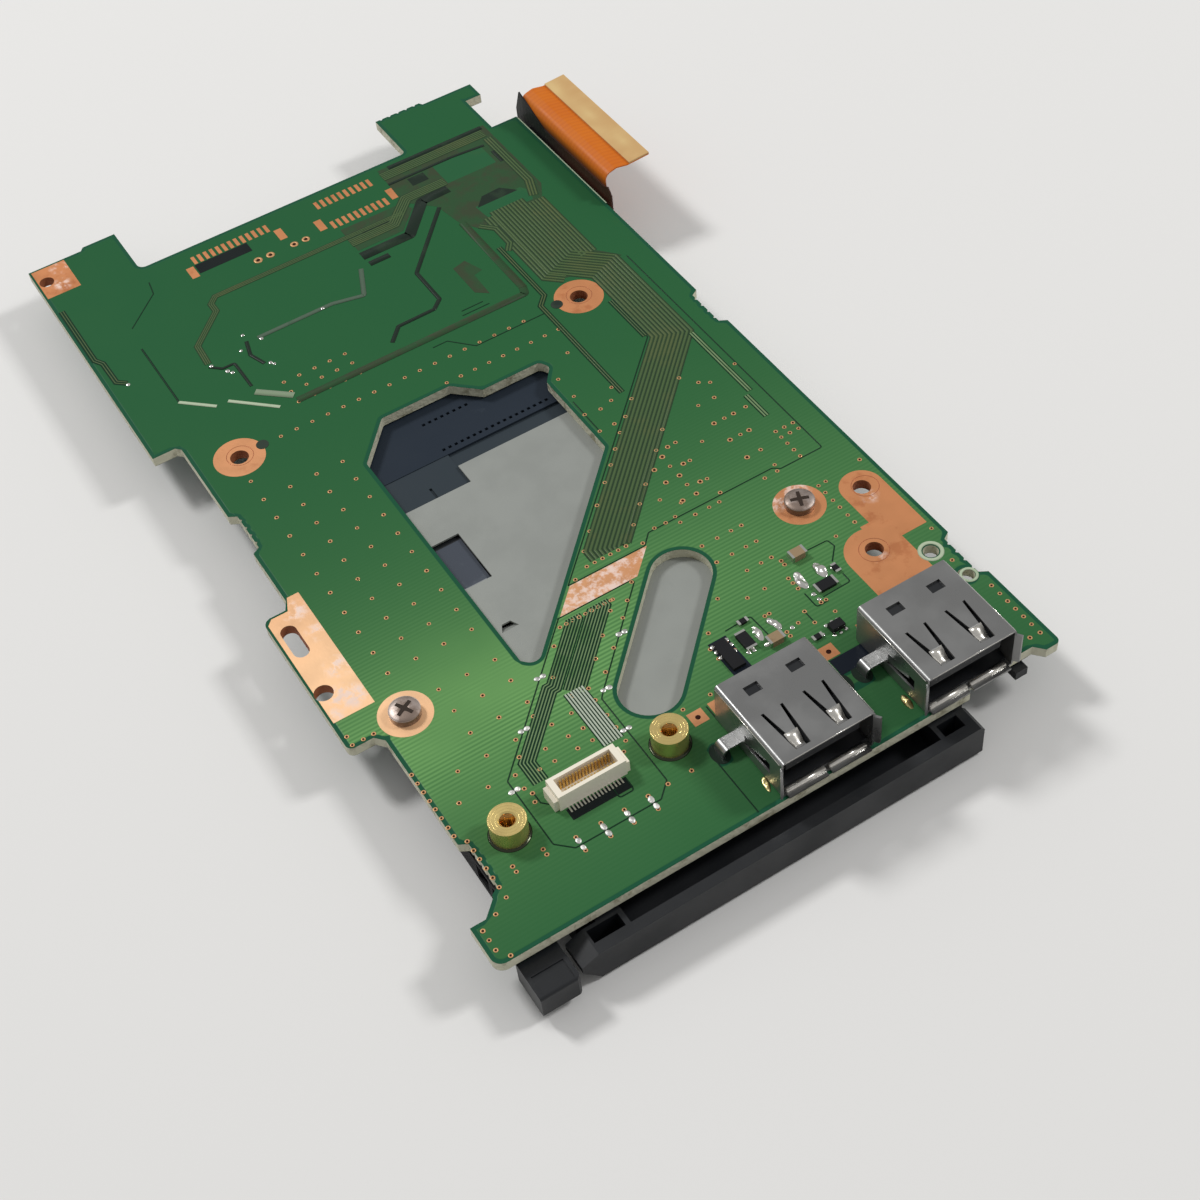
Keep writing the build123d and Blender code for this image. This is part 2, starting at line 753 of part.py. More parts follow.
arm_push = push_place - pivot_place
push_row = lever_row - push_setback
swing = degrees(asin(rod_travel / (pivot_place - rod_centre)))
with BuildPart() as cage_floor:
    block(slot_left, slot_right, rail_front + 1.0, rail_back - 1.0, floor_lift, floor_top)
    push_slot_left = push_place - push_width / 2 - push_setback * sin(radians(swing)) - 1.6
    push_slot_front = push_row - arm_push * sin(radians(swing)) - push_slot_gap
    block(push_slot_left, push_place + push_width / 2 + 0.6, push_slot_front, push_row + push_slot_gap,
          floor_lift, floor_top, mode=Mode.SUBTRACT)
    post(pivot_place, lever_row, rivet_radius, floor_lift, floor_top, mode=Mode.SUBTRACT)
    with BuildSketch(level(floor_lift)):
        with Locations((cage_centre, floor_slot_row)):
            with GridLocations(floor_slot_pitch, 0, floor_slot_count, 1):
                Rectangle(*floor_slot_size)
    extrude(amount=floor_sheet, mode=Mode.SUBTRACT)
finish("cage_floor", cage_floor.part)

roof_top = rail_height - roof_drop
with BuildPart() as cage_roof:
    block(slot_left, slot_right, cover_back_left - 0.6, header_front, roof_top - roof_thick, roof_top)
    block(slot_left, cover_step, cover_back_left, header_front, roof_top, rail_height - 0.1)
    block(roof_groove_left, roof_groove_left + roof_groove_width, cover_back_left,
          header_front - roof_groove_inset, roof_top, rail_height - 0.1, mode=Mode.SUBTRACT)
finish("cage_roof", cage_roof.part)

# ---- card header and its contacts --------------------------------------------------------------
header_back = rail_back
contact_shelf = 3.2
with BuildPart() as card_header:
    block(slot_left, slot_right, header_front, header_back, floor_top, rail_height)
    block(pivot_place - rivet_head - rivet_gap, slot_right - mouth_inset, header_front, header_front + 3.0,
          floor_top, contact_shelf + 1.2, mode=Mode.SUBTRACT)
    for row_y, count in zip(contact_rows, contact_counts):
        with BuildSketch(level(rail_height)):
            with Locations((contact_left + contact_pitch * (count - 1) / 2, row_y)):
                with GridLocations(contact_pitch, 0, count, 1):
                    Rectangle(contact_port, contact_port)
        extrude(amount=-0.8, mode=Mode.SUBTRACT)
finish("card_header", card_header.part)

contact_count = sum(contact_counts)
contact_runs = (
    (header_back, 1.3, underside - 0.2, 0.2), (header_back, 0.2, rail_height - 2.2, 2.3),
    (header_front + 0.4, 2.6, contact_shelf, 0.2),
)
with BuildPart() as header_contacts:
    for front, length, bottom, height in contact_runs:
        with BuildSketch(level(bottom)):
            with Locations((cage_centre, front + length / 2)):
                with GridLocations(contact_pitch, 0, contact_count, 1):
                    Rectangle(contact_width, length)
        extrude(amount=height)
finish("header_contacts", header_contacts.part)

# ---- blanking card ----------------------------------------------------------------------------
card_bottom = floor_top + run_gap
card_top = cover_bottom - run_gap
body_left = slot_left + run_gap
body_right = slot_right - run_gap
bar_left = slot_left - bar_outset[0]
bar_right = slot_right + bar_outset[1]
bar_top = card_top + 0.2
bar_back = bar_front + bar_depth
with BuildPart() as blanking_card:
    with BuildSketch(across(bar_back)):
        with BuildLine():
            Polyline(
                (bar_left + bar_bevel, bar_top), (bar_right - bar_chamfer, bar_top),
                (bar_right, bar_top - bar_chamfer), (bar_right, bar_bottom),
                (bar_left + bar_bevel, bar_bottom),
                (bar_left, bar_top - 2 * bar_nose), (bar_left, bar_top - bar_nose), close=True,
            )
        make_face()
    extrude(amount=bar_depth)
    block(body_left, body_right, bar_back, card_back - card_step, card_bottom, card_top)
    block(body_left, body_right, card_back - card_step, card_back, card_bottom, card_top - card_drop)
    pocket_back = 2.4
    stops = (bar_left + bar_bevel, bar_left + rib_insets[0], bar_right - rib_insets[1], bar_right - bar_wall)
    for left, right in zip(stops, stops[1:]):
        inset = rib_width / 2
        deep = bar_back - 0.5 if right - left < pocket_limit else pocket_back
        block(left + inset, right - inset, bar_front + bar_wall, deep, bar_floor + 0.6, card_top + 1,
              mode=Mode.SUBTRACT)
    for index in range(pan_count):
        front = pan_front + pan_pitch * index
        for left, right in ((body_left + pan_rim, cage_centre - 1), (cage_centre + 1, body_right - pan_rim)):
            block(left, right, front, front + pan_depth, card_bottom + pan_floor, card_top + 1,
                  mode=Mode.SUBTRACT)
finish("blanking_card", blanking_card.part)

# ---- push ejector -------------------------------------------------------------------------------
button_back = button_front + button_length
with BuildPart() as eject_button:
    button_left = button_centre - button_width / 2
    button_top = button_bottom + button_height
    block(button_left, button_left + button_width, button_front, button_back, button_bottom, button_top)
    chamfer(eject_button.edges().filter_by(Axis.Z).group_by(Axis.Y)[0].sort_by(Axis.X)[-1], length=0.5)
    fillet(eject_button.edges().filter_by(Axis.X).group_by(Axis.Y)[0], radius=0.4)
    block(button_left + 0.6, button_left + button_width - 0.6, button_front + 0.5, button_front + 3.3,
          button_top - button_inlay, button_top, mode=Mode.SUBTRACT)
finish("eject_button", eject_button.part)

rod_left = rod_centre - rod_width / 2
rod_right = rod_centre + rod_width / 2
with BuildPart() as eject_rod:
    block(rod_left, rod_right, button_back, rod_end, rod_bottom, rod_bottom + rod_height)
    for middle in rod_reliefs:
        block(rod_left, rod_right, middle - relief_length / 2, middle + relief_length / 2,
              rod_bottom + relief_height, rod_bottom + rod_height, mode=Mode.SUBTRACT)
    post(rod_centre, lever_row, pin_radius, 0.15, rod_bottom)
finish("eject_rod", eject_rod.part)

channel_left = rod_left - run_gap
channel_right = rod_right + run_gap
channel_floor = rod_bottom - run_gap
with BuildPart() as rod_channel:
    for front, back in channel_stretches:
        block(channel_left - channel_sheet, channel_right + channel_sheet, front, back,
              channel_floor - channel_sheet, cover_bottom)
        block(channel_left, channel_right, front, back, channel_floor, cover_bottom - channel_sheet,
              mode=Mode.SUBTRACT)
        middle = (front + back) / 2
        block(channel_right + channel_sheet, cage_left, middle - 3, middle + 3, channel_floor - channel_sheet,
              channel_floor + 0.4)
    for y, length in channel_windows:
        block(channel_left - channel_sheet, channel_left, y, y + length, channel_floor + 0.5,
              cover_bottom - channel_sheet - 0.3, mode=Mode.SUBTRACT)
finish("rod_channel", rod_channel.part)

fork_end = rod_centre - pin_radius - 0.1
fork_root = rod_centre + pin_radius + 0.9
with BuildPart() as eject_lever:
    with BuildSketch(level(lever_bottom)):
        with Locations(((fork_end + pivot_place) / 2, lever_row)):
            Rectangle(pivot_place - fork_end, lever_width)
        with Locations((pivot_place, lever_row)):
            Circle(lever_width / 2)
        with BuildLine():
            Polyline(
                (pivot_place, lever_row + lever_width / 2), (pivot_place, lever_row - lever_width / 2),
                (push_place - push_width / 2, push_row - 0.9), (push_place + push_width / 2, push_row - 0.9),
                (push_place + push_width / 2, push_row + push_sheet + 0.4), close=True,
            )
        make_face()
        with Locations((pivot_place, lever_row)):
            Circle(rivet_radius, mode=Mode.SUBTRACT)
        with Locations(((fork_end + fork_root) / 2, lever_row)):
            Rectangle(fork_root - fork_end, 2 * (pin_radius + run_gap), mode=Mode.SUBTRACT)
    extrude(amount=lever_sheet)
    block(push_place - push_width / 2, push_place + push_width / 2, push_row, push_row + push_sheet,
          lever_bottom + lever_sheet, card_top - card_drop - 0.4)
finish("eject_lever", eject_lever.part)

with BuildPart() as lever_rivet:
    post(pivot_place, lever_row, rivet_radius, lever_bottom, floor_top)
    post(pivot_place, lever_row, rivet_head, floor_top, floor_top + 0.4)
    post(pivot_place, lever_row, rivet_radius + 0.3, 0.1, lever_bottom)
finish("lever_rivet", lever_rivet.part)

# ---- slide switch -------------------------------------------------------------------------------
switch_centre = board_width - switch_inset
switch_left = switch_centre - switch_length / 2
switch_right = switch_centre + switch_length / 2
switch_bottom = underside - switch_height
knob_centre = switch_centre + knob_offset
knob_middle = underside - switch_height / 2
knob_face = switch_front - knob_reach
slider_bottom = knob_middle - slider_height / 2
slider_top = knob_middle + slider_height / 2
cavity_front = switch_front + 0.7
with BuildPart() as switch_body:
    block(switch_left, switch_right, switch_front, switch_front + switch_depth, switch_bottom, underside)
    block(knob_centre - knob_travel - slider_width / 2 - run_gap, knob_centre + slider_width / 2 + run_gap,
          cavity_front, cavity_front + slider_depth + 2 * run_gap,
          slider_bottom - run_gap, slider_top + run_gap, mode=Mode.SUBTRACT)
    block(knob_centre - knob_travel - knob_width / 2 - run_gap, knob_centre + knob_width / 2 + run_gap,
          switch_front, cavity_front, knob_middle - knob_height / 2 - run_gap / 2,
          knob_middle + knob_height / 2 + run_gap / 2, mode=Mode.SUBTRACT)
finish("switch_body", switch_body.part)

with BuildPart() as switch_knob:
    block(knob_centre - knob_width / 2, knob_centre + knob_width / 2, knob_face, cavity_front + run_gap,
          knob_middle - knob_height / 2, knob_middle + knob_height / 2)
    block(knob_centre - slider_width / 2, knob_centre + slider_width / 2, cavity_front + run_gap,
          cavity_front + run_gap + slider_depth, slider_bottom, slider_top)
finish("switch_knob", switch_knob.part)

switch_back = switch_front + switch_depth
with BuildPart() as switch_legs:
    for x in (switch_centre - switch_leg_pitch, switch_centre, switch_centre + switch_leg_pitch):
        left = x - switch_leg / 2
        right = x + switch_leg / 2
        foot_bottom = underside - leg_sheet
        block(left, right, switch_back, switch_back + switch_foot, foot_bottom, underside)
        block(left, right, switch_back, switch_back + leg_sheet, underside - switch_foot, foot_bottom)
finish("switch_legs", switch_legs.part)

# ---- film cable ------------------------------------------------------------------------------------
film_back = film_front + film_width
guard_front = film_front - guard_overlap[0]
guard_back = film_back + guard_overlap[1]
film_level = underside - film_socket_height / 2
crest = top + film_crest
socket_right = board_width - film_socket_inset
socket_left = socket_right - film_socket_depth
tail_start = film_rise + stiffener_start
tail_low = crest - 0.4
tail_high = crest - 0.15
with BuildPart() as film_cable:
    with BuildSketch(across(film_back)):
        with BuildLine():
            FilletPolyline(
                (socket_left + latch_depth + 1.0, film_level), (film_rise, film_level),
                (film_rise, crest - 0.6), (film_rise + 2.2, crest), (tail_start - 0.4, tail_low),
                (film_reach, tail_high), radius=film_radius,
            )
        trace(line_width=film_sheet)
    extrude(amount=film_width)
finish("film_cable", film_cable.part)

stiffener_lift = (film_sheet + stiffener_sheet) / 2 + 0.01
with BuildPart() as film_stiffener:
    with BuildSketch(across(film_back)):
        with BuildLine():
            Line((tail_start, tail_low + 0.02 + stiffener_lift), (film_reach, tail_high + stiffener_lift))
        trace(line_width=stiffener_sheet)
    extrude(amount=film_width)
finish("film_stiffener", film_stiffener.part)

guard_right = film_rise - film_sheet / 2
with BuildPart() as film_guard:
    with BuildSketch(along(guard_right - guard_sheet)):
        with BuildLine():
            Polyline(
                (guard_front, film_level + film_radius), (guard_front, top + 1.6),
                (guard_front + 1.0, top + 2.8),
                (film_front + 0.4, top + 2.2), (film_back - 7.5, top + 2.2), (film_back - 4.5, top + 3.4),
                (film_back + 0.3, top + guard_height), (guard_back, top + 1.2),
                (guard_back, film_level + film_radius),
                close=True,
            )
        make_face()
    extrude(amount=guard_sheet)
finish("film_guard", film_guard.part)

socket_front = film_front - film_socket_margin
socket_back = film_back + film_socket_margin
with BuildPart() as film_socket_housing:
    block(socket_left, socket_right, socket_front, socket_back, underside - film_socket_height, underside)
    block(socket_left + latch_depth, socket_right, film_front, film_back, film_level - film_sheet / 2,
          film_level + film_sheet / 2, mode=Mode.SUBTRACT)
    block(socket_left, socket_left + latch_depth, film_front, film_back, underside - film_socket_height,
          film_level, mode=Mode.SUBTRACT)
finish("film_socket_housing", film_socket_housing.part)

with BuildPart() as film_latch:
    block(socket_left - 0.3, socket_left + latch_depth, film_front, film_back,
          underside - film_socket_height, film_level)
finish("film_latch", film_latch.part)

# ---- small parts on the board --------------------------------------------------------------------------
chip_kinds = (
    ("chip_resistors", resistor_size, resistor_places),
    ("chip_capacitors", capacitor_size, capacitor_places),
    ("small_chips", chip_size, chip_places),
)
for name, (length, width, height), places in chip_kinds:
    with BuildPart() as chips:
        for x, y, turn in places:
            with BuildSketch(level(top)):
                with Locations((x, y)):
                    Rectangle(length - 2 * terminal_length, width, rotation=turn)
            extrude(amount=height)
    finish(name, chips.part)

with BuildPart() as chip_terminals:
    for name, (length, width, height), places in chip_kinds:
        for x, y, turn in places:
            with BuildSketch(level(top)):
                with Locations((x, y)):
                    Rectangle(length, width, rotation=turn)
                    Rectangle(length - 2 * terminal_length, width, rotation=turn, mode=Mode.SUBTRACT)
            extrude(amount=height)
finish("chip_terminals", chip_terminals.part)

with BuildPart() as small_packages:
    for x, y, length, width, height in package_places:
        block(x - length / 2, x + length / 2, y - width / 2, y + width / 2, top, top + height)
finish("small_packages", small_packages.part)
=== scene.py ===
"""Looks of the card reader board: a green laptop board with two USB sockets and a card slot cage.

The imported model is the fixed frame. Places on the board are in millimetres from its
front left corner, and heights are in millimetres above its top face.
"""

import logging
import math
from dataclasses import dataclass
from enum import Enum
from typing import Any, Iterable, Sequence

import bpy
import numpy as np
from mathutils import Matrix, Vector, geometry

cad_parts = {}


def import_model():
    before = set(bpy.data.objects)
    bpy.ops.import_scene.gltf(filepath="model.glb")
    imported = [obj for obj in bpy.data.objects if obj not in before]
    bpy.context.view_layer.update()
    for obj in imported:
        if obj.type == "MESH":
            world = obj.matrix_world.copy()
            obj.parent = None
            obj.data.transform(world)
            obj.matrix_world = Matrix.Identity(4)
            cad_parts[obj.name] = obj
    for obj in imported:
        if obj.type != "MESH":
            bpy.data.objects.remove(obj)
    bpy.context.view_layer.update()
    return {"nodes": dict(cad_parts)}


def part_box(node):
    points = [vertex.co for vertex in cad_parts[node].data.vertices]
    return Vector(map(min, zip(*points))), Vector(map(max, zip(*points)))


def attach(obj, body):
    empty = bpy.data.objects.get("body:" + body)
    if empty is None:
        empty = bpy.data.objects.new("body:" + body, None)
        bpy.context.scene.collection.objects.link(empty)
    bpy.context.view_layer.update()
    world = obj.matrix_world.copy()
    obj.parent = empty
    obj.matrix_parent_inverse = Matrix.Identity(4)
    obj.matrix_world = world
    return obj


LOG = logging.getLogger("card_reader_board")
MM = 0.001
BOARD_DEPTH = 154.0
# Height and thickness, in millimetres, of the small plates that lie on the mask.
FLAT = (0.046, 0.006)
Point = tuple[float, float]
Place = tuple[float, float, float]
Edge = tuple[int, int]
Colour = tuple[float, float, float]
Mesh = bpy.types.Mesh
Material = bpy.types.Material
Node = bpy.types.Node
Socket = bpy.types.NodeSocket
Tree = bpy.types.NodeTree


def tone(red: int, green: int, blue: int) -> tuple[float, float, float, float]:
    """Turn an 8 bit display colour into the linear colour that shaders take.

    Args:
        red, green, blue: display values from 0 to 255.

    Returns:
        Linear red, green, blue and an alpha of 1.
    """
    def linear(value: int) -> float:
        share = value / 255
        return share / 12.92 if share <= 0.04045 else ((share + 0.055) / 1.055) ** 2.4
    return linear(red), linear(green), linear(blue), 1.0


def circle(parts: int) -> list[Point]:
    """Cosine and sine at even steps round a circle."""
    turns = [2 * math.pi * step / parts for step in range(parts)]
    return [(math.cos(turn), math.sin(turn)) for turn in turns]


def oval(x: float, y: float, wide: float, deep: float, parts: int) -> list[Point]:
    """Corners of an oval.

    Args:
        x, y: its middle.
        wide, deep: its radii along X and Y.
        parts: number of corners.

    Returns:
        The corners, in counterclockwise order.
    """
    return [(x + wide * across, y + deep * along) for across, along in circle(parts)]


def block(left: float, right: float, low: float, high: float) -> tuple[Point, ...]:
    """Corners of a rectangle, in counterclockwise order."""
    return (left, low), (right, low), (right, high), (left, high)


def steps(start: float, step: float, count: int) -> tuple[float, ...]:
    """Evenly spaced numbers."""
    return tuple(start + step * index for index in range(count))


class Slot(Enum):
    """Material slots that the pieces are passed; nothing reads them."""

    BOARD = "board"
    COPPER = "copper"
    TINNED = "tinned"
    BRASS = "brass"
    SOCKET_STEEL = "socket_steel"
    GOLD_CONTACT = "gold_contact"
    SCREW_STEEL = "screw_steel"
    CAGE_STEEL = "cage_steel"


class Plan:
    """Turns board places into positions in the frame."""

    def __init__(self) -> None:
        """Read the board's corner and top from the frame."""
        low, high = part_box("circuit_board")
        self.left = low.x
        self.front = high.y - BOARD_DEPTH * MM
        self.top = high.z

    def at(self, x: float, y: float, z: float = 0.0) -> Vector:
        """Position of a board place.

        Args:
            x, y: place in millimetres from the front left corner.
            z: height in millimetres above the board's top.

        Returns:
            The position in metres.
        """
        return Vector((self.left + x * MM, self.front + y * MM, self.top + z * MM))


class Graph:
    """Short calls that fill a shader or geometry node tree."""

    def __init__(self, tree: Tree) -> None:
        """Keep the tree that the calls fill."""
        self.tree = tree

    @classmethod
    def start(cls, name: str, kind: str, inputs: Sequence[Sequence[Any]],
              outputs: Sequence[tuple[str, str]]) -> tuple["Graph", Any]:
        """Start a node group with named sockets.

        Args:
            name: the group's name.
            kind: the type of its tree.
            inputs: name, socket type and, where there is one, default of each input.
            outputs: name and socket type of each output.

        Returns:
            The group's graph, ready to fill, and the sockets that bring its inputs.
        """
        tree = bpy.data.node_groups.new(name, kind)
        for label, form, *default in inputs:
            socket = tree.interface.new_socket(label, in_out="INPUT", socket_type="NodeSocket" + form)
            if default:
                socket.default_value = default[0]
        for label, form in outputs:
            tree.interface.new_socket(label, in_out="OUTPUT", socket_type="NodeSocket" + form)
        graph = cls(tree)
        return graph, graph.add("NodeGroupInput").outputs

    def feed(self, socket: Socket, value: Any) -> None:
        """Link a socket into an input, or set the input's constant."""
        if isinstance(value, Socket):
            self.tree.links.new(value, socket)
        else:
            socket.default_value = value

    def add(self, kind: str, inputs: dict[Any, Any] | None = None, **settings: Any) -> Node:
        """Add a node.

        Args:
            kind: the node's type name.
            inputs: values or sockets by input name or index.
            settings: the node's own settings.

        Returns:
            The new node.
        """
        node = self.tree.nodes.new(kind)
        for name, value in settings.items():
            setattr(node, name, value)
        for key, value in (inputs or {}).items():
            self.feed(node.inputs[key], value)
        return node

    def math(self, operation: str, *values: Any, clamp: bool = False) -> Socket:
        """Result of a math node on the given values."""
        node = self.add("ShaderNodeMath", dict(enumerate(values)), operation=operation, use_clamp=clamp)
        return node.outputs[0]

    def vector(self, operation: str, *values: Any) -> Socket:
        """Result of a vector math node: a number for a length or a distance, otherwise a vector."""
        node = self.add("ShaderNodeVectorMath", dict(enumerate(values)), operation=operation)
        return node.outputs["Value" if operation in ("LENGTH", "DISTANCE") else "Vector"]

    def mix(self, share: Any, first: Any, second: Any) -> Socket:
        """Colour between two colours."""
        node = self.add("ShaderNodeMix", {0: share, 6: first, 7: second}, data_type="RGBA")
        return node.outputs[2]

    def step(self, value: Any, low: float, high: float) -> Socket:
        """Smooth step of a value from 0 at low to 1 at high."""
        node = self.add("ShaderNodeMapRange", {0: value, 1: low, 2: high}, interpolation_type="SMOOTHSTEP")
        return node.outputs[0]

    def noise(self, place: Any, scale: Any, detail: float = 3.0, rough: float = 0.5) -> Socket:
        """Noise value at a place."""
        inputs = {"Vector": place, "Scale": scale, "Detail": detail, "Roughness": rough}
        return self.add("ShaderNodeTexNoise", inputs).outputs[0]

    def stretch(self, place: Any, x: float, y: float, z: float) -> Socket:
        """A place scaled along the axes."""
        return self.add("ShaderNodeMapping", {"Vector": place, "Scale": (x, y, z)}).outputs[0]


class Groups:
    """Shader node groups shared by the finishes, each built once."""

    def __init__(self) -> None:
        """Build every group."""
        self.grain = self._grain()
        self.wear = self._wear()
        self.spot = self._spot()

    def _grain(self) -> Tree:
        """Fine surface grain: a height and a slowly varying smudge value."""
        graph, (place, fine, coarse, *_) = Graph.start(
            "surface_grain", "ShaderNodeTree",
            (("Place", "Vector"), ("Fine", "Float", 4000.0), ("Coarse", "Float", 120.0)),
            (("Height", "Float"), ("Smudge", "Float")),
        )
        height, cloud = graph.noise(place, fine, 2.0), graph.noise(place, coarse, 4.0)
        graph.add("NodeGroupOutput", {0: height, 1: graph.step(cloud, 0.35, 0.68)})
        return graph.tree

    def _wear(self) -> Tree:
        """Patches of a second colour with ragged edges."""
        graph, (place, scale, amount, colour, worn, *_) = Graph.start(
            "ragged_wear", "ShaderNodeTree",
            (("Place", "Vector"), ("Scale", "Float", 200.0), ("Amount", "Float", 0.3), ("Colour", "Color"),
             ("Worn", "Color")),
            (("Colour", "Color"), ("Mask", "Float")),
        )
        cloud = graph.noise(place, scale, 7.0, 0.62)
        limit = graph.math("SUBTRACT", 0.8, graph.math("MULTIPLY", amount, 0.6))
        mask = graph.math("MULTIPLY", graph.math("SUBTRACT", cloud, limit), 9.0, clamp=True)
        graph.add("NodeGroupOutput", {0: graph.mix(mask, colour, worn), 1: mask})
        return graph.tree

    def _spot(self) -> Tree:
        """A soft round spot about a centre, with a ragged rim."""
        graph, (place, centre, radius, soft, *_) = Graph.start(
            "round_spot", "ShaderNodeTree",
            (("Place", "Vector"), ("Centre", "Vector"), ("Radius", "Float", 0.002), ("Soft", "Float", 0.001)),
            (("Mask", "Float"),),
        )
        ragged = graph.math("MULTIPLY", graph.noise(place, 900.0), soft)
        reach = graph.math("SUBTRACT", graph.math("ADD", radius, ragged), graph.vector("DISTANCE", place, centre))
        graph.add("NodeGroupOutput", {0: graph.math("DIVIDE", reach, soft, clamp=True)})
        return graph.tree


class Surface:
    """A material under construction: a principled shader fed by the groups."""

    def __init__(self, name: str, groups: Groups, **constants: Any) -> None:
        """Start the material.

        Args:
            name: the material's name.
            groups: the shared node groups.
            constants: constants of the principled shader, with underscores for spaces.
        """
        self.material = bpy.data.materials.new(name)
        self.material.use_nodes = True
        self.groups = groups
        tree = self.material.node_tree
        tree.nodes.clear()
        self.graph = Graph(tree)
        self.shader = self.graph.add("ShaderNodeBsdfPrincipled")
        for label, value in constants.items():
            self.shader.inputs[label.replace("_", " ")].default_value = value
        self.graph.add("ShaderNodeOutputMaterial", {"Surface": self.shader.outputs[0]})
        self.place = self.graph.add("ShaderNodeTexCoord").outputs["Object"]

    def call(self, tree: Tree, **inputs: Any) -> Node:
        """Place a shared group with its own values."""
        node = self.graph.add("ShaderNodeGroup", node_tree=tree)
        for label, value in {"Place": self.place, **inputs}.items():
            self.graph.feed(node.inputs[label], value)
        return node

    def patch(self, scale: float, amount: float, colour: Colour, worn: Colour) -> Any:
        """Colour and mask of worn patches over a colour."""
        group = self.call(self.groups.wear, Scale=scale, Amount=amount, Colour=tone(*colour), Worn=tone(*worn))
        return group.outputs

    def grain(self, fine: float, coarse: float) -> Any:
        """Height and smudge of the surface grain."""
        return self.call(self.groups.grain, Fine=fine, Coarse=coarse).outputs

    def colour(self, value: Any) -> None:
        """Set the base colour."""
        self.graph.feed(self.shader.inputs["Base Color"], value)

    def rough(self, base: float, *shares: tuple[Any, float]) -> None:
        """Set the roughness.

        Args:
            base: roughness where nothing is added.
            shares: values and how much of each is added.
        """
        total: Any = base
        for value, share in shares:
            total = self.graph.math("MULTIPLY_ADD", value, share, total)
        self.graph.feed(self.shader.inputs["Roughness"], total)

    def glow(self, plan: Plan, middle: Point, reach: Point) -> Socket:
        """A share that is 1 at one board place and falls off all round.

        Args:
            plan: the board's places.
            middle: where the share is 1.
            reach: how far it takes to fall to a half, along X and Y, in millimetres.

        Returns:
            The share.
        """
        graph = self.graph
        shifted = graph.vector("SUBTRACT", self.place, plan.at(*middle))
        away = graph.vector("LENGTH", graph.stretch(shifted, 1000 / reach[0], 1000 / reach[1], 0.0))
        return graph.math("DIVIDE", 1.0, graph.math("ADD", 1.0, graph.math("MULTIPLY", away, away)))

    def bump(self, height: Any, distance: float) -> None:
        """Feed a height from 0 to 1, with the depth of its relief in metres, into the normal."""
        node = self.graph.add("ShaderNodeBump", {"Height": height, "Distance": distance, "Strength": 1.0})
        self.graph.feed(self.shader.inputs["Normal"], node.outputs[0])


@dataclass(frozen=True)
class MetalFinish:
    """A metal with brushed grain, smudges and patches of wear.

    Colours are display colours, wear is the share of the surface that is worn, grain stretches the
    brushing along the axes, and relief is the grain's depth in metres.
    """

    name: str
    colour: Colour
    worn: Colour
    roughness: float
    wear: float = 0.2
    grain: Colour = (1.0, 1.0, 1.0)
    relief: float = 0.000004
    metallic: float = 1.0

    def build(self, groups: Groups) -> Material:
        """Make the material."""
        surface = Surface(self.name, groups, Metallic=self.metallic)
        graph = surface.graph
        brushed = graph.noise(graph.stretch(surface.place, *self.grain), 2500.0, 3.0)
        patch, worn = surface.patch(260.0, self.wear, self.colour, self.worn)
        height, smudge = surface.grain(fine=5200.0, coarse=160.0)
        surface.colour(patch)
        surface.rough(self.roughness - 0.05, (smudge, 0.14), (worn, 0.12))
        surface.bump(graph.math("ADD", brushed, height), self.relief)
        return surface.material


@dataclass(frozen=True)
class PlasticFinish:
    """A moulded plastic with fine grain, dust and rubbed patches."""

    name: str
    colour: Colour
    worn: Colour
    roughness: float
    wear: float = 0.15
    relief: float = 0.00001
    coat: float = 0.0
    shine: float = 0.1

    def build(self, groups: Groups) -> Material:
        """Make the material."""
        surface = Surface(self.name, groups, Coat_Weight=self.coat, Specular_IOR_Level=self.shine)
        height, smudge = surface.grain(fine=4200.0, coarse=90.0)
        surface.colour(surface.patch(180.0, self.wear, self.colour, self.worn)[0])
        surface.rough(self.roughness - 0.08, (smudge, 0.16))
        surface.bump(height, self.relief)
        return surface.material


@dataclass(frozen=True)
class FilmFinish:
    """A thin sheet whose colour changes across the board, with faint conductors along it. Before the turn it takes the
    root colour, painted shade where the sheet lies in shadow, and the listed patches are painted highlights.
    """

    name: str
    colour: Colour
    line: Colour
    # root: painted shade, the colour the sheet takes before the turn, where it lies in shadow.
    root: Colour
    axis: int
    turn: Point
    pitch: float
    roughness: float
    patch: Colour
    patches: tuple[tuple[Point, Point], ...] = ()
    glow_highlight_strength: float = 0.34
    stripes: float = 0.3

    def build(self, groups: Groups, plan: Plan) -> Material:
        """Make the material."""
        surface = Surface(self.name, groups, Specular_IOR_Level=0.25)
        graph = surface.graph
        axes = graph.add("ShaderNodeSeparateXYZ", {0: surface.place})
        start, end = (plan.at(value, value, value)[self.axis] for value in self.turn)
        share = graph.step(axes.outputs[self.axis], start, end)
        wave = graph.math("SINE", graph.math("MULTIPLY", axes.outputs[1], 2 * math.pi / self.pitch))
        stripe = graph.step(wave, -0.2, 0.5)
        height, smudge = surface.grain(fine=3000.0, coarse=150.0)
        body = graph.mix(graph.math("MULTIPLY", stripe, self.stripes), tone(*self.colour), tone(*self.line))
        body = graph.mix(graph.math("MULTIPLY", smudge, 0.2), body, tone(*self.patch))
        # Painted highlights: pale glows of the patch colour about the listed places.
        for middle, reach in self.patches:
            near = graph.math("MULTIPLY", surface.glow(plan, middle, reach), self.glow_highlight_strength)
            body = graph.mix(near, body, tone(*self.patch))
        # Before the turn the sheet takes the root colour, which is painted shade.
        surface.colour(graph.mix(share, tone(*self.root), body))
        surface.rough(self.roughness, (smudge, 0.15))
        surface.bump(graph.math("ADD", graph.math("MULTIPLY", stripe, self.stripes), height), 0.00002)
        return surface.material


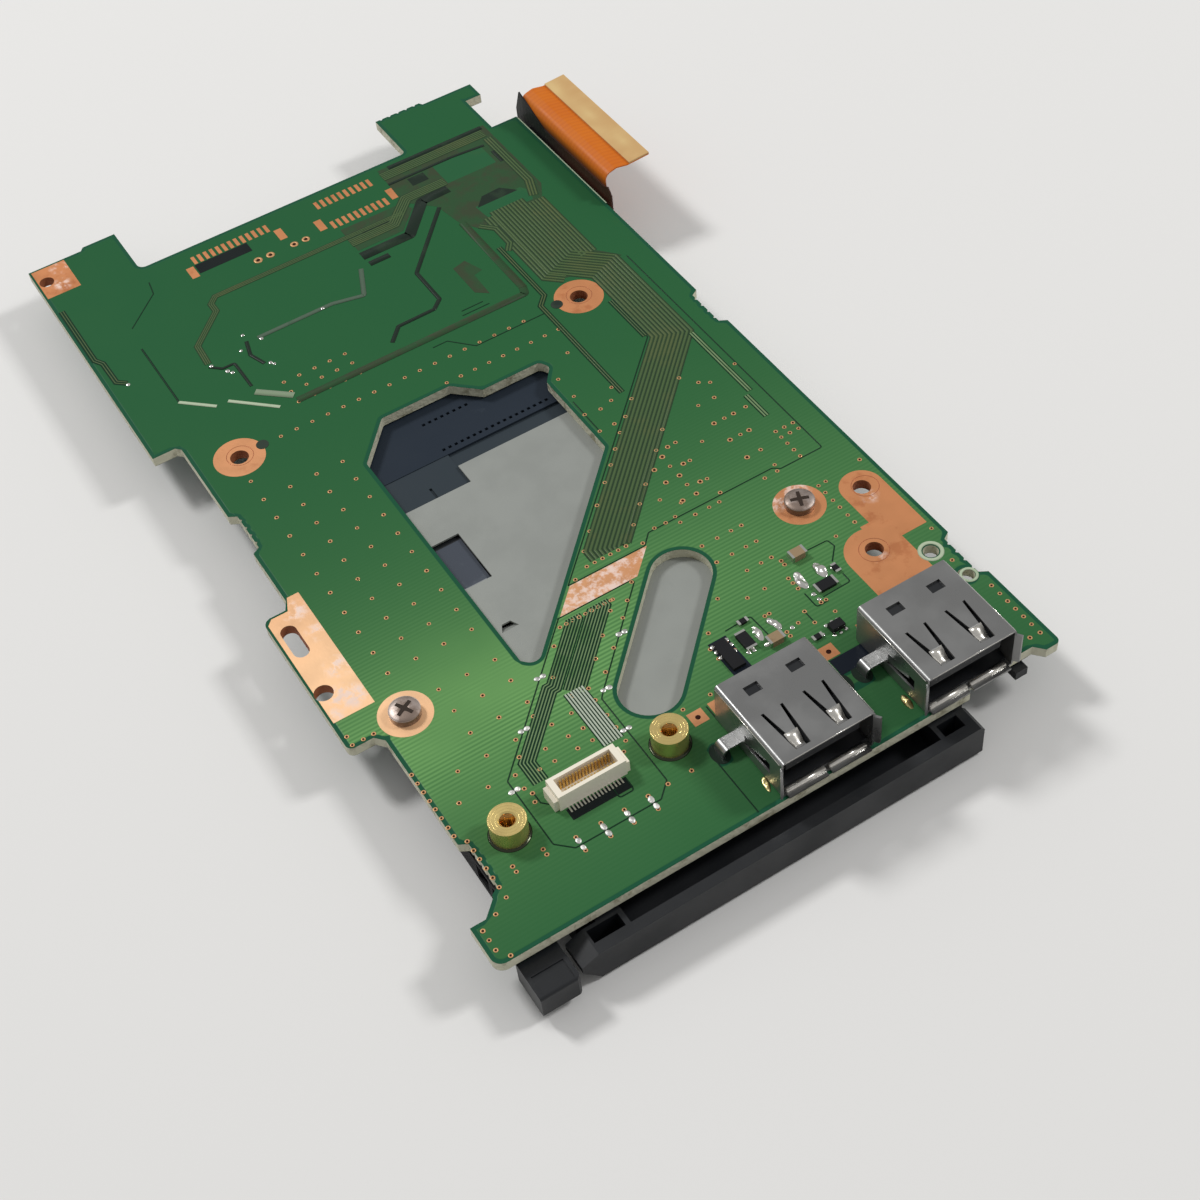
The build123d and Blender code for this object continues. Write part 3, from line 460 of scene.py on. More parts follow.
@dataclass(frozen=True)
class CopperFinish:
    """Bare copper lands, with pink and grey tarnish about given places and a pale painted glare about the front left.
    """

    name: str = "bare_copper"
    colour: Colour = (202, 130, 82)
    dull: Colour = (184, 108, 62)
    tarnish: Colour = (234, 214, 204)
    # The pale colour with its middle and reach is a painted glare on the copper about the front left.
    pale: Colour = (250, 204, 158)
    glare_middle: Point = (6.0, 48.0)
    glare_reach: Point = (26.0, 24.0)
    spots: tuple[Place, ...] = (
        (4.6, 63.0, 1.6), (5.4, 58.0, 1.3), (5.0, 51.0, 1.6), (3.0, 46.5, 1.6), (4.6, 45.5, 1.8), (1.4, 44.0, 0.9),
        (36.6, 43.2, 5.0), (40.6, 43.2, 5.4), (45.5, 43.4, 5.0), (5.0, 151.5, 1.4), (3.6, 147.5, 1.2),
        (69.0, 41.5, 2.0), (72.5, 41.6, 1.6), (80.0, 34.5, 0.9), (74.4, 24.4, 0.7),
    )

    def build(self, groups: Groups, plan: Plan) -> Material:
        """Make the material, with its tarnish placed on the board."""
        surface = Surface(self.name, groups, Metallic=0.4, Specular_IOR_Level=0.3)
        graph = surface.graph
        total: Any = 0.0
        for x, y, radius in self.spots:
            spot = surface.call(groups.spot, Centre=plan.at(x, y), Radius=radius * MM, Soft=1.3 * MM)
            total = graph.math("MAXIMUM", total, spot.outputs[0])
        base = surface.patch(330.0, 0.4, self.colour, self.dull)[0]
        ragged = graph.step(graph.noise(surface.place, 700.0, 6.0, 0.65), 0.42, 0.6)
        mask = graph.math("MULTIPLY", total, ragged)
        height, smudge = surface.grain(fine=2600.0, coarse=240.0)
        # Painted glare: the copper turns pale about the front left.
        bright = graph.mix(surface.glow(plan, self.glare_middle, self.glare_reach), base, tone(*self.pale))
        surface.colour(graph.mix(graph.math("MULTIPLY", mask, 0.85), bright, tone(*self.tarnish)))
        surface.rough(0.36, (smudge, 0.15), (mask, 0.25))
        surface.bump(graph.math("ADD", height, graph.math("MULTIPLY", mask, 0.8)), 0.00001)
        return surface.material


@dataclass(frozen=True)
class LaminateFinish:
    """The bare board: glass laminate at its cut sides, green mask above and below."""

    name: str = "glass_laminate"
    mask: Colour = (24, 84, 58)
    laminate: Colour = (196, 194, 172)
    fibre: Colour = (150, 146, 122)
    plating: Colour = (150, 88, 54)
    plated: tuple[Place, ...] = (
        (1.5, 48.3, 1.45), (2.3, 56.0, 1.7), (2.3, 58.5, 1.7), (2.3, 61.0, 1.7), (10.9, 94.6, 2.2), (69.2, 94.6, 2.2),
        (74.4, 26.2, 2.2), (80.5, 36.4, 2.0), (1.8, 149.6, 1.6),
    )

    def build(self, groups: Groups, plan: Plan) -> Material:
        """Make the material."""
        surface = Surface(self.name, groups)
        graph = surface.graph
        height = graph.add("ShaderNodeSeparateXYZ", {0: surface.place}).outputs[2]
        low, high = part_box("circuit_board")
        margin = 0.02 * MM
        above = graph.math("GREATER_THAN", height, high.z - margin)
        below = graph.math("LESS_THAN", height, low.z + margin)
        face = graph.math("MAXIMUM", above, below)
        side = surface.patch(420.0, 0.42, self.laminate, self.fibre)[0]
        grain = surface.grain(fine=1500.0, coarse=420.0)[0]
        flat = graph.stretch(surface.place, 1.0, 1.0, 0.0)
        total: Any = 0.0
        for x, y, radius in self.plated:
            centre = plan.at(x, y)
            centre.z = 0.0
            near = graph.math("LESS_THAN", graph.vector("DISTANCE", flat, centre), radius * MM)
            total = graph.math("MAXIMUM", total, near)
        wall = graph.mix(total, side, tone(*self.plating))
        surface.colour(graph.mix(face, wall, tone(*self.mask)))
        surface.rough(0.75, (face, -0.45))
        surface.bump(graph.math("MULTIPLY", grain, graph.math("SUBTRACT", 1.0, face)), 0.00018)
        return surface.material


@dataclass(frozen=True)
class MaskFinish:
    """Green solder mask over the copper pour, with a darker rim, a faint hatch and a pale painted sheen about the
    front left.
    """

    name: str = "solder_mask"
    # The pale colour, middle and reach set a painted sheen: the mask turns paler about the front left.
    sheen_colour: Colour = (120, 170, 102)
    deep: Colour = (35, 88, 57)
    rim: Colour = (30, 82, 58)
    ridge: Colour = (36, 92, 48)
    middle: Point = (14.0, 34.0)
    reach: Point = (60.0, 14.0)
    hatch_pitch: float = 0.62 * MM
    attribute: str = "edge_distance"

    def build(self, groups: Groups, plan: Plan) -> Material:
        """Make the material."""
        surface = Surface(self.name, groups, Specular_IOR_Level=0.08)
        graph = surface.graph
        distance = graph.add("ShaderNodeAttribute", attribute_name=self.attribute).outputs["Fac"]
        inner = graph.step(distance, 0.5 * MM, 0.66 * MM)
        # Painted sheen: 1 about the front left and fading off; the hatch shows only inside it.
        painted_sheen = surface.glow(plan, self.middle, self.reach)
        depth = graph.add("ShaderNodeSeparateXYZ", {0: surface.place}).outputs[1]
        wave = graph.math("SINE", graph.math("MULTIPLY", depth, 2 * math.pi / self.hatch_pitch))
        patchy = graph.step(graph.noise(graph.stretch(surface.place, 0.4, 1.0, 1.0), 60.0, 3.0), 0.3, 0.52)
        hatch = graph.math("MULTIPLY", graph.math("MULTIPLY", wave, patchy), painted_sheen)
        body = graph.mix(painted_sheen, tone(*self.deep), tone(*self.sheen_colour))
        body = graph.mix(graph.math("MULTIPLY_ADD", hatch, 0.3, 0.3, clamp=True), body, tone(*self.ridge))
        height, smudge = surface.grain(fine=1800.0, coarse=70.0)
        body = graph.mix(graph.math("MULTIPLY", smudge, 0.14), body, tone(*self.ridge))
        surface.colour(graph.mix(inner, tone(*self.rim), body))
        surface.rough(0.34, (smudge, 0.1))
        surface.bump(graph.math("MULTIPLY_ADD", hatch, 0.3, graph.math("MULTIPLY", height, 0.25)), 0.00002)
        return surface.material


class Finishes:
    """Every material of the object, built once and found by name."""

    def __init__(self, plan: Plan) -> None:
        """Build the groups and all materials."""
        groups = Groups()
        steel_grain = (0.25, 6.0, 1.0)
        plain = (
            MetalFinish("socket_steel", (152, 152, 151), (122, 121, 119), 0.32, 0.2, steel_grain, metallic=0.9),
            MetalFinish("cage_steel", (148, 151, 146), (140, 144, 139), 0.45, 0.25, (1.0, 4.0, 1.0), 0.000004, 0.3),
            MetalFinish("screw_steel", (186, 172, 164), (138, 122, 112), 0.46, 0.6, (3.0, 3.0, 1.0), 0.00001),
            MetalFinish("lever_steel", (170, 170, 168), (130, 128, 124), 0.42, 0.3),
            MetalFinish("turned_brass", (240, 214, 140), (208, 172, 96), 0.26, 0.25, (1.0, 1.0, 12.0), 0.000005, 0.85),
            MetalFinish("plated_contact", (226, 186, 104), (200, 150, 84), 0.3, 0.2),
            MetalFinish("tinned", (214, 214, 208), (176, 174, 166), 0.28, 0.3),
            MetalFinish("wet_solder", (232, 230, 224), (190, 186, 178), 0.16, 0.25, relief=0.00001),
            MetalFinish("dull_solder", (205, 205, 200), (232, 230, 224), 0.42, 0.5, relief=0.00004),
            MetalFinish("via_copper", (204, 156, 108), (170, 126, 84), 0.42, 0.35, metallic=0.5),
            PlasticFinish("black_moulding", (25, 27, 30), (46, 46, 48), 0.45, 0.1, shine=0.4),
            PlasticFinish("rail_moulding", (32, 32, 34), (54, 52, 52), 0.6, 0.2),
            PlasticFinish("roof_moulding", (52, 60, 66), (66, 72, 78), 0.45, 0.25),
            PlasticFinish("header_moulding", (40, 48, 58), (56, 64, 72), 0.42, 0.2),
            PlasticFinish("ivory_moulding", (238, 230, 212), (226, 216, 194), 0.42, 0.2, shine=0.3),
            PlasticFinish("chip_body", (34, 34, 36), (60, 58, 56), 0.4, 0.2),
            PlasticFinish("capacitor_body", (150, 128, 100), (120, 98, 74), 0.42, 0.3),
            PlasticFinish("groove_mask", (22, 50, 34), (28, 60, 40), 0.35, 0.2, 0.000004),
            PlasticFinish("track_mask", (112, 138, 96), (88, 124, 76), 0.3, 0.5, 0.000004),
            PlasticFinish("brown_groove", (44, 64, 44), (52, 72, 46), 0.35, 0.4, 0.000004),
            PlasticFinish("brown_track", (76, 98, 62), (84, 98, 62), 0.32, 0.5, 0.000004),
            PlasticFinish("dark_mask", (34, 46, 38), (42, 58, 44), 0.35, 0.4, 0.000004),
            PlasticFinish("black_mask", (26, 32, 32), (36, 44, 40), 0.35, 0.3, 0.000004),
            PlasticFinish("navy_mask", (28, 34, 44), (24, 44, 44), 0.3, 0.3, 0.000004),
            PlasticFinish("brown_mask", (58, 70, 50), (48, 78, 50), 0.36, 0.6, 0.000006),
            PlasticFinish("green_island", (40, 92, 58), (50, 92, 56), 0.36, 0.4, 0.000006),
            PlasticFinish("grey_mask", (82, 100, 84), (60, 96, 70), 0.3, 0.4, 0.000004),
            # A pale glossy mask for painted reflections on diagonal traces.
            PlasticFinish("shiny_mask", (128, 146, 118), (104, 128, 92), 0.2, 0.3, 0.000004, coat=0.6),
            PlasticFinish("spot_mask", (52, 62, 54), (40, 50, 44), 0.3, 0.3, 0.000004),
            PlasticFinish("bare_laminate", (176, 190, 162), (148, 170, 138), 0.5, 0.4, 0.00002),
            PlasticFinish("pale_track", (176, 186, 168), (150, 166, 144), 0.3, 0.4, 0.00001),
            PlasticFinish("liner_slate", (72, 77, 86), (84, 89, 97), 0.4, 0.4, 0.00001),
            PlasticFinish("liner_pale", (150, 153, 156), (128, 131, 134), 0.4, 0.4, 0.00001),
            PlasticFinish("recess_shadow", (58, 48, 42), (96, 84, 74), 0.4, 0.5, 0.00004),
            MetalFinish("stamp_copper", (176, 104, 70), (150, 92, 64), 0.35, 0.4, metallic=0.5),
            # A dark solder for the spacers' feet: painted shade and reflection.
            MetalFinish("foot_solder", (70, 74, 60), (150, 150, 140), 0.2, 0.3),
            # A pale steel for painted highlights on the sockets' lips, edges and finger tips.
            MetalFinish("bright_steel", (226, 222, 214), (176, 172, 166), 0.22, 0.25, relief=0.000008, metallic=0.8),
            MetalFinish("flux_solder", (210, 196, 140), (160, 130, 70), 0.3, 0.5, relief=0.00002),
            MetalFinish("thread_brass", (206, 150, 84), (120, 74, 40), 0.14, 0.3),
            # Dark discs that are painted shade in the holes.
            PlasticFinish("hole_dark", (52, 22, 14), (30, 14, 10), 0.6, 0.3),
        )
        self._found = {finish.name: finish.build(groups) for finish in plain}
        placed = (
            # film: its dark brown root below 1.8 to 3.8 mm above the board is painted shade on the rising sheet.
            FilmFinish("film", (202, 104, 14), (184, 86, 10), (74, 38, 20), 2, (1.8, 3.8), 0.9 * MM, 0.42,
                       (214, 126, 30)),
            # stiffener: its three pale glows are painted highlights.
            FilmFinish("stiffener", (194, 152, 100), (190, 147, 95), (186, 140, 88), 0, (86.0, 86.5), 3.1 * MM, 0.4,
                       (232, 212, 152), (((90.4, 137.5), (1.1, 6.0)), ((91.4, 127.0), (0.9, 2.2)),
                                         ((92.0, 117.5), (0.9, 2.0)))),
            # guard_tape: black tape at the back; its dark brown root towards the front is painted shade of the film in
            # shadow.
            FilmFinish("guard_tape", (26, 25, 27), (30, 28, 30), (62, 32, 22), 1, (120.0, 134.0), 1.1 * MM, 0.45,
                       (34, 32, 34)),
            CopperFinish(), LaminateFinish(), MaskFinish(),
        )
        for finish in placed:
            self._found[finish.name] = finish.build(groups, plan)

    def __getitem__(self, name: str) -> Material:
        """The material of that name."""
        return self._found[name]


CAD_FINISHES = {
    "glass_laminate": "circuit_board", "bare_copper": "copper_lands", "film": "film_cable",
    "stiffener": "film_stiffener", "guard_tape": "film_guard", "screw_steel": "cage_screws",
    "roof_moulding": "cage_roof", "header_moulding": "card_header", "capacitor_body": "chip_capacitors",
    "socket_steel": "usb_shell_left usb_shell_right", "turned_brass": "spacer_left spacer_right",
    "plated_contact": "usb_contacts_left usb_contacts_right header_contacts",
    "ivory_moulding": "board_connector_housing film_socket_housing",
    "tinned": "board_connector_pins switch_legs chip_terminals",
    "cage_steel": "cage_cover cage_floor", "lever_steel": "eject_rod eject_lever lever_rivet",
    "rail_moulding": "cage_rail_left cage_rail_right rod_channel",
    "black_moulding": "usb_insulator_left usb_insulator_right blanking_card eject_button switch_body switch_knob "
                      "film_latch",
    "chip_body": "chip_resistors small_chips small_packages",
}


class Workshop:
    """Makes finished pieces: plain meshes that ride on the board."""

    def __init__(self, plan: Plan, finishes: Finishes) -> None:
        """Keep the places and finishes that pieces use."""
        self.plan = plan
        self.finishes = finishes

    def piece(self, name: str, mesh: Mesh, slot: Slot) -> None:
        """Put a finished mesh, placed in the frame, into the scene on the board."""
        piece = bpy.data.objects.new(name, mesh)
        bpy.context.scene.collection.objects.link(piece)
        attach(piece, "board")
        LOG.info("%s: %d faces", name, len(mesh.polygons))

    def add(self, name: str, points: Iterable[Sequence[float]], faces: Iterable[Sequence[int]], finish: str,
            slot: Slot, smooth: bool = False) -> Mesh:
        """Make a mesh from points and faces and add it as a piece.

        Args:
            name: the piece's name.
            points: positions in metres.
            faces: corner lists.
            finish: the material's name.
            slot: a material slot; not used.
            smooth: whether faces are shaded smooth.

        Returns:
            The mesh.
        """
        mesh = bpy.data.meshes.new(name)
        mesh.from_pydata([tuple(point) for point in points], [], [tuple(face) for face in faces])
        mesh.materials.append(self.finishes[finish])
        mesh.polygons.foreach_set("use_smooth", [smooth] * len(mesh.polygons))
        mesh.update()
        self.piece(name, mesh, slot)
        return mesh

    def grown(self, name: str, source: Mesh, tree: Tree, slot: Slot, inputs: dict[str, Any]) -> None:
        """Run a geometry tree on a mesh and add the plain result as a piece.

        Args:
            name: the piece's name.
            source: the mesh that the tree starts from.
            tree: the geometry tree.
            slot: a material slot; not used.
            inputs: values of the tree's named inputs.
        """
        holder = bpy.data.objects.new(name + "_source", source)
        bpy.context.scene.collection.objects.link(holder)
        modifier = holder.modifiers.new("grow", "NODES")
        modifier.node_group = tree
        for item in tree.interface.items_tree:
            if item.in_out == "INPUT" and item.name in inputs:
                modifier[item.identifier] = inputs[item.name]
        graph = bpy.context.evaluated_depsgraph_get()
        graph.update()
        result = bpy.data.meshes.new_from_object(holder.evaluated_get(graph), depsgraph=graph)
        result.name = name
        holder.modifiers.clear()
        bpy.data.objects.remove(holder)
        self.piece(name, result, slot)

    def plate(self, name: str, outline: Sequence[Point], lift: float, thick: float, finish: str,
              slot: Slot = Slot.BOARD) -> None:
        """Add a flat plate over board places.

        Args:
            name: the piece's name.
            outline: its corners.
            lift: height of its underside above the board's top, in millimetres.
            thick: its thickness in millimetres.
            finish: the material's name.
            slot: a material slot; not used.
        """
        turn = sum(a[0] * b[1] - b[0] * a[1] for a, b in zip(outline, (*outline[1:], outline[0])))
        ring = list(outline) if turn > 0 else list(outline)[::-1]
        count = len(ring)
        points = [self.plan.at(x, y, z) for z in (lift, lift + thick) for x, y in ring]
        faces = [tuple(range(count))[::-1], tuple(range(count, 2 * count))]
        faces += [(i, (i + 1) % count, count + (i + 1) % count, count + i) for i in range(count)]
        self.add(name, points, faces, finish, slot)

    def lathe(self, name: str, centre: Vector, section: Sequence[Point], parts: int, finish: str,
              slot: Slot) -> None:
        """Turn a closed section about an upright axis and add it as a piece.

        Args:
            name: the piece's name.
            centre: foot of the axis.
            section: radius and height pairs in millimetres, round the section.
            parts: number of steps round the axis.
            finish: the material's name.
            slot: a material slot; not used.
        """
        count = len(section)
        points = [centre + Vector((across * radius, along * radius, rise)) * MM
                  for across, along in circle(parts) for radius, rise in section]
        faces = [
            (i * count + j, i * count + (j + 1) % count, (i + 1) % parts * count + (j + 1) % count,
             (i + 1) % parts * count + j)
            for i in range(parts) for j in range(count)
        ]
        mesh = self.add(name, points, faces, finish, slot, smooth=True)
        volume = sum(face.center.dot(face.normal) * face.area for face in mesh.polygons)
        base = sum((face.normal * face.area for face in mesh.polygons), Vector())
        if volume - centre.dot(base) < 0:
            mesh.flip_normals()

    def cloud(self, name: str, places: Iterable[Point], lift: float) -> Mesh:
        """Mesh of loose points at board places, for a tree to grow on."""
        mesh = bpy.data.meshes.new(name)
        mesh.from_pydata([self.plan.at(x, y, lift) for x, y in places], [], [])
        return mesh

    def lines(self, name: str, runs: Iterable[Sequence[Point]], lift: float) -> Mesh:
        """Mesh of open edge runs at board places, for a tree to grow on."""
        points: list[Vector] = []
        edges: list[Edge] = []
        for run in runs:
            start = len(points)
            points += [self.plan.at(x, y, lift) for x, y in run]
            edges += [(start + i, start + i + 1) for i in range(len(run) - 1)]
        mesh = bpy.data.meshes.new(name)
        mesh.from_pydata(points, edges, [])
        return mesh


class Trees:
    """Geometry trees for what repeats or follows a path, each with named inputs."""

    def __init__(self) -> None:
        """Build every tree."""
        self.ring_field = self._ring_field()
        self.ribbon = self._ribbon()
        self.drops = self._drops()

    def _start(self, name: str, *inputs: Sequence[Any]) -> tuple[Graph, Any]:
        """Start a tree with a geometry input and named sizes."""
        geometry = ("Geometry", "Geometry")
        graph, sizes = Graph.start(name, "GeometryNodeTree", (geometry, *inputs), (geometry,))
        graph.tree.is_modifier = True
        return graph, sizes

    def _scatter(self, graph: Graph, points: Any, shape: Any, seed: Any, spread: float, turn: float) -> Any:
        """Instance a shape on points with seeded differences in size and turn."""
        size = graph.add("FunctionNodeRandomValue", {2: 1 - spread, 3: 1 + spread, "Seed": seed}, data_type="FLOAT")
        spin = graph.add("FunctionNodeRandomValue", {
            0: (0.0, 0.0, -turn), 1: (0.0, 0.0, turn), "Seed": seed,
        }, data_type="FLOAT_VECTOR")
        node = graph.add("GeometryNodeInstanceOnPoints", {
            "Points": points, "Instance": shape, "Rotation": spin.outputs[0], "Scale": size.outputs[1],
        })
        return node.outputs[0]

    def _close(self, graph: Graph, shapes: Sequence[tuple[Any, Any]]) -> Tree:
        """Realize instances, set materials and join into the tree's output."""
        join = graph.add("GeometryNodeJoinGeometry")
        for shape, material in shapes:
            real = graph.add("GeometryNodeRealizeInstances", {0: shape})
            dressed = graph.add("GeometryNodeSetMaterial", {"Geometry": real.outputs[0], "Material": material})
            graph.tree.links.new(dressed.outputs[0], join.inputs[0])
        graph.add("NodeGroupOutput", {0: join.outputs[0]})
        return graph.tree

    def _ring_field(self) -> Tree:
        """A plated ring on every point, with a dark disc in it as painted shade of the hole."""
        graph, sizes = self._start(
            "ring_field", ("Ring Radius", "Float", 0.35 * MM), ("Hole Radius", "Float", 0.17 * MM),
            ("Ring Finish", "Material"), ("Hole Finish", "Material"), ("Seed", "Int", 1),
        )
        middle = graph.math("MULTIPLY", graph.math("ADD", sizes["Ring Radius"], sizes["Hole Radius"]), 0.5)
        half = graph.math("MULTIPLY", graph.math("SUBTRACT", sizes["Ring Radius"], sizes["Hole Radius"]), 0.5)
        path = graph.add("GeometryNodeCurvePrimitiveCircle", {"Resolution": 14, "Radius": middle})
        section = graph.add("GeometryNodeCurvePrimitiveCircle", {"Resolution": 6, "Radius": half})
        torus = graph.add("GeometryNodeCurveToMesh", {"Curve": path.outputs[0], "Profile Curve": section.outputs[0]})
        flat = graph.add("GeometryNodeTransform", {"Geometry": torus.outputs[0], "Scale": (1.0, 1.0, 0.35)})
        hole = graph.add("GeometryNodeMeshCylinder", {
            "Vertices": 12, "Radius": sizes["Hole Radius"], "Depth": 0.004 * MM,
        })
        rings, holes = (
            self._scatter(graph, sizes["Geometry"], shape.outputs[0], sizes["Seed"], 0.07, 0.6)
            for shape in (flat, hole)
        )
        return self._close(graph, ((rings, sizes["Ring Finish"]), (holes, sizes["Hole Finish"])))

    def _ribbon(self) -> Tree:
        """A flat strip along every run of edges."""
        graph, sizes = self._start(
            "track_ribbon", ("Width", "Float", 0.2 * MM), ("Height", "Float", 0.02 * MM),
            ("Corner", "Float", 0.3 * MM), ("Finish", "Material"),
        )
        curve = graph.add("GeometryNodeMeshToCurve", {0: sizes["Geometry"]})
        soft = graph.add("GeometryNodeFilletCurve", {
            "Curve": curve.outputs[0], "Count": 3, "Radius": sizes["Corner"], "Limit Radius": True,
        }, mode="POLY")
        level = graph.add("GeometryNodeSetCurveNormal", {0: soft.outputs[0]}, mode="Z_UP")
        section = graph.add("GeometryNodeCurvePrimitiveQuadrilateral", {
            "Width": sizes["Width"], "Height": sizes["Height"],
        })
        strip = graph.add("GeometryNodeCurveToMesh", {
            "Curve": level.outputs[0], "Profile Curve": section.outputs[0], "Fill Caps": True,
        })
        return self._close(graph, ((strip.outputs[0], sizes["Finish"]),))

    def _drops(self) -> Tree:
        """A flattened drop of solder on every point, each a little different."""
        graph, sizes = self._start(
            "solder_drops", ("Length", "Float", 1.0 * MM), ("Width", "Float", 0.6 * MM),
            ("Rise", "Float", 0.2 * MM), ("Finish", "Material"), ("Seed", "Int", 1),
        )
        ball = graph.add("GeometryNodeMeshIcoSphere", {"Radius": 0.5, "Subdivisions": 4})
        scale = graph.add("ShaderNodeCombineXYZ", {0: sizes["Length"], 1: sizes["Width"], 2: sizes["Rise"]})
        drop = graph.add("GeometryNodeTransform", {"Geometry": ball.outputs[0], "Scale": scale.outputs[0]})
        laid = self._scatter(graph, sizes["Geometry"], drop.outputs[0], sizes["Seed"], 0.12, 0.25)
        real = graph.add("GeometryNodeRealizeInstances", {0: laid})
        rough = graph.add("ShaderNodeTexNoise", {"Scale": 700.0, "Detail": 1.0})
        centred = graph.math("MULTIPLY", graph.math("SUBTRACT", rough.outputs[0], 0.5), 0.35)
        push = graph.add("ShaderNodeVectorMath", {
            0: graph.add("GeometryNodeInputNormal").outputs[0],
            "Scale": graph.math("MULTIPLY", centred, sizes["Width"]),
        }, operation="SCALE")
        shaken = graph.add("GeometryNodeSetPosition", {"Geometry": real.outputs[0], "Offset": push.outputs[0]})
        smooth = graph.add("GeometryNodeSetShadeSmooth", {0: shaken.outputs[0]})
        return self._close(graph, ((smooth.outputs[0], sizes["Finish"]),))


@dataclass
class Studio:
    """Floor, lamps and camera."""

    plan: Plan
    eye: tuple[float, float, float] = (-34.59, -109.48, 198.76)
    heading: float = 26.288
    dip: float = 49.927
    roll: float = 7.168
    lens: float = 58.02
    sensor: float = 36.0
    floor_reach: float = 1.5
    floor_tone: tuple[int, int, int] = (226, 225, 223)
    lamp_aim: Point = (42.0, 65.0)
    world_level: float = 0.4
    lamps: tuple[tuple[str, float, float, float, float, float], ...] = (
        ("back", -336.0, 857.0, 990.0, 250.0, 8.4),
        ("right", 1028.0, -265.0, 946.0, 240.0, 7.4),
    )

    def build(self) -> None:
        """Make the floor, the lamps, the world and the camera."""
        bpy.context.scene.view_settings.view_transform = "Standard"
        self._floor()
        self._world()
        for name, x, y, z, size, power in self.lamps:
            self._lamp(name, self.plan.at(x, y, z), size * MM, power)
        self._camera()

    def _floor(self) -> None:
        """A wide pale sheet under the object."""
        mesh = bpy.data.meshes.new("floor")
        reach = self.floor_reach
        mesh.from_pydata([(x, y, 0) for x, y in block(-reach, reach, -reach, reach)], [], [(0, 1, 2, 3)])
        material = bpy.data.materials.new("pale_floor")
        material.use_nodes = True
        shader = material.node_tree.nodes["Principled BSDF"]
        shader.inputs["Base Color"].default_value = tone(*self.floor_tone)
        shader.inputs["Roughness"].default_value = 0.8
        shader.inputs["Specular IOR Level"].default_value = 0.1
        mesh.materials.append(material)
        floor = bpy.data.objects.new("floor", mesh)
        bpy.context.scene.collection.objects.link(floor)

    def _world(self) -> None:
        """A plain pale surround."""
        world = bpy.data.worlds.new("surround")
        world.use_nodes = True
        background = world.node_tree.nodes["Background"]
        background.inputs["Color"].default_value = (1.0, 1.0, 1.0, 1.0)
        background.inputs["Strength"].default_value = self.world_level
        bpy.context.scene.world = world

    def _lamp(self, name: str, place: Vector, size: float, power: float) -> None:
        """A soft square lamp that faces the middle of the board."""
        lamp = bpy.data.lights.new(name, "AREA")
        lamp.size = size
        lamp.energy = power
        holder = bpy.data.objects.new(name, lamp)
        aim = self.plan.at(*self.lamp_aim) - place
        holder.matrix_world = Matrix.Translation(place) @ aim.to_track_quat("-Z", "Y").to_matrix().to_4x4()
        bpy.context.scene.collection.objects.link(holder)

    def _camera(self) -> None:
        """The camera, turned by heading, dip and roll."""
        camera = bpy.data.cameras.new("camera")
        camera.lens = self.lens
        camera.sensor_width = self.sensor
        camera.clip_start = 0.01
        holder = bpy.data.objects.new("camera", camera)
        heading, dip, roll = (math.radians(angle) for angle in (self.heading, self.dip, self.roll))
        ahead = Vector((math.sin(heading) * math.cos(dip), math.cos(heading) * math.cos(dip), -math.sin(dip)))
        across = ahead.cross(Vector((0, 0, 1))).normalized()
        down = ahead.cross(across)
        right = across * math.cos(roll) + down * math.sin(roll)
        up = across * math.sin(roll) - down * math.cos(roll)
        turn = Matrix((right, up, -ahead)).transposed().to_4x4()
        holder.matrix_world = Matrix.Translation(self.plan.at(*self.eye)) @ turn
        bpy.context.scene.collection.objects.link(holder)
        bpy.context.scene.camera = holder


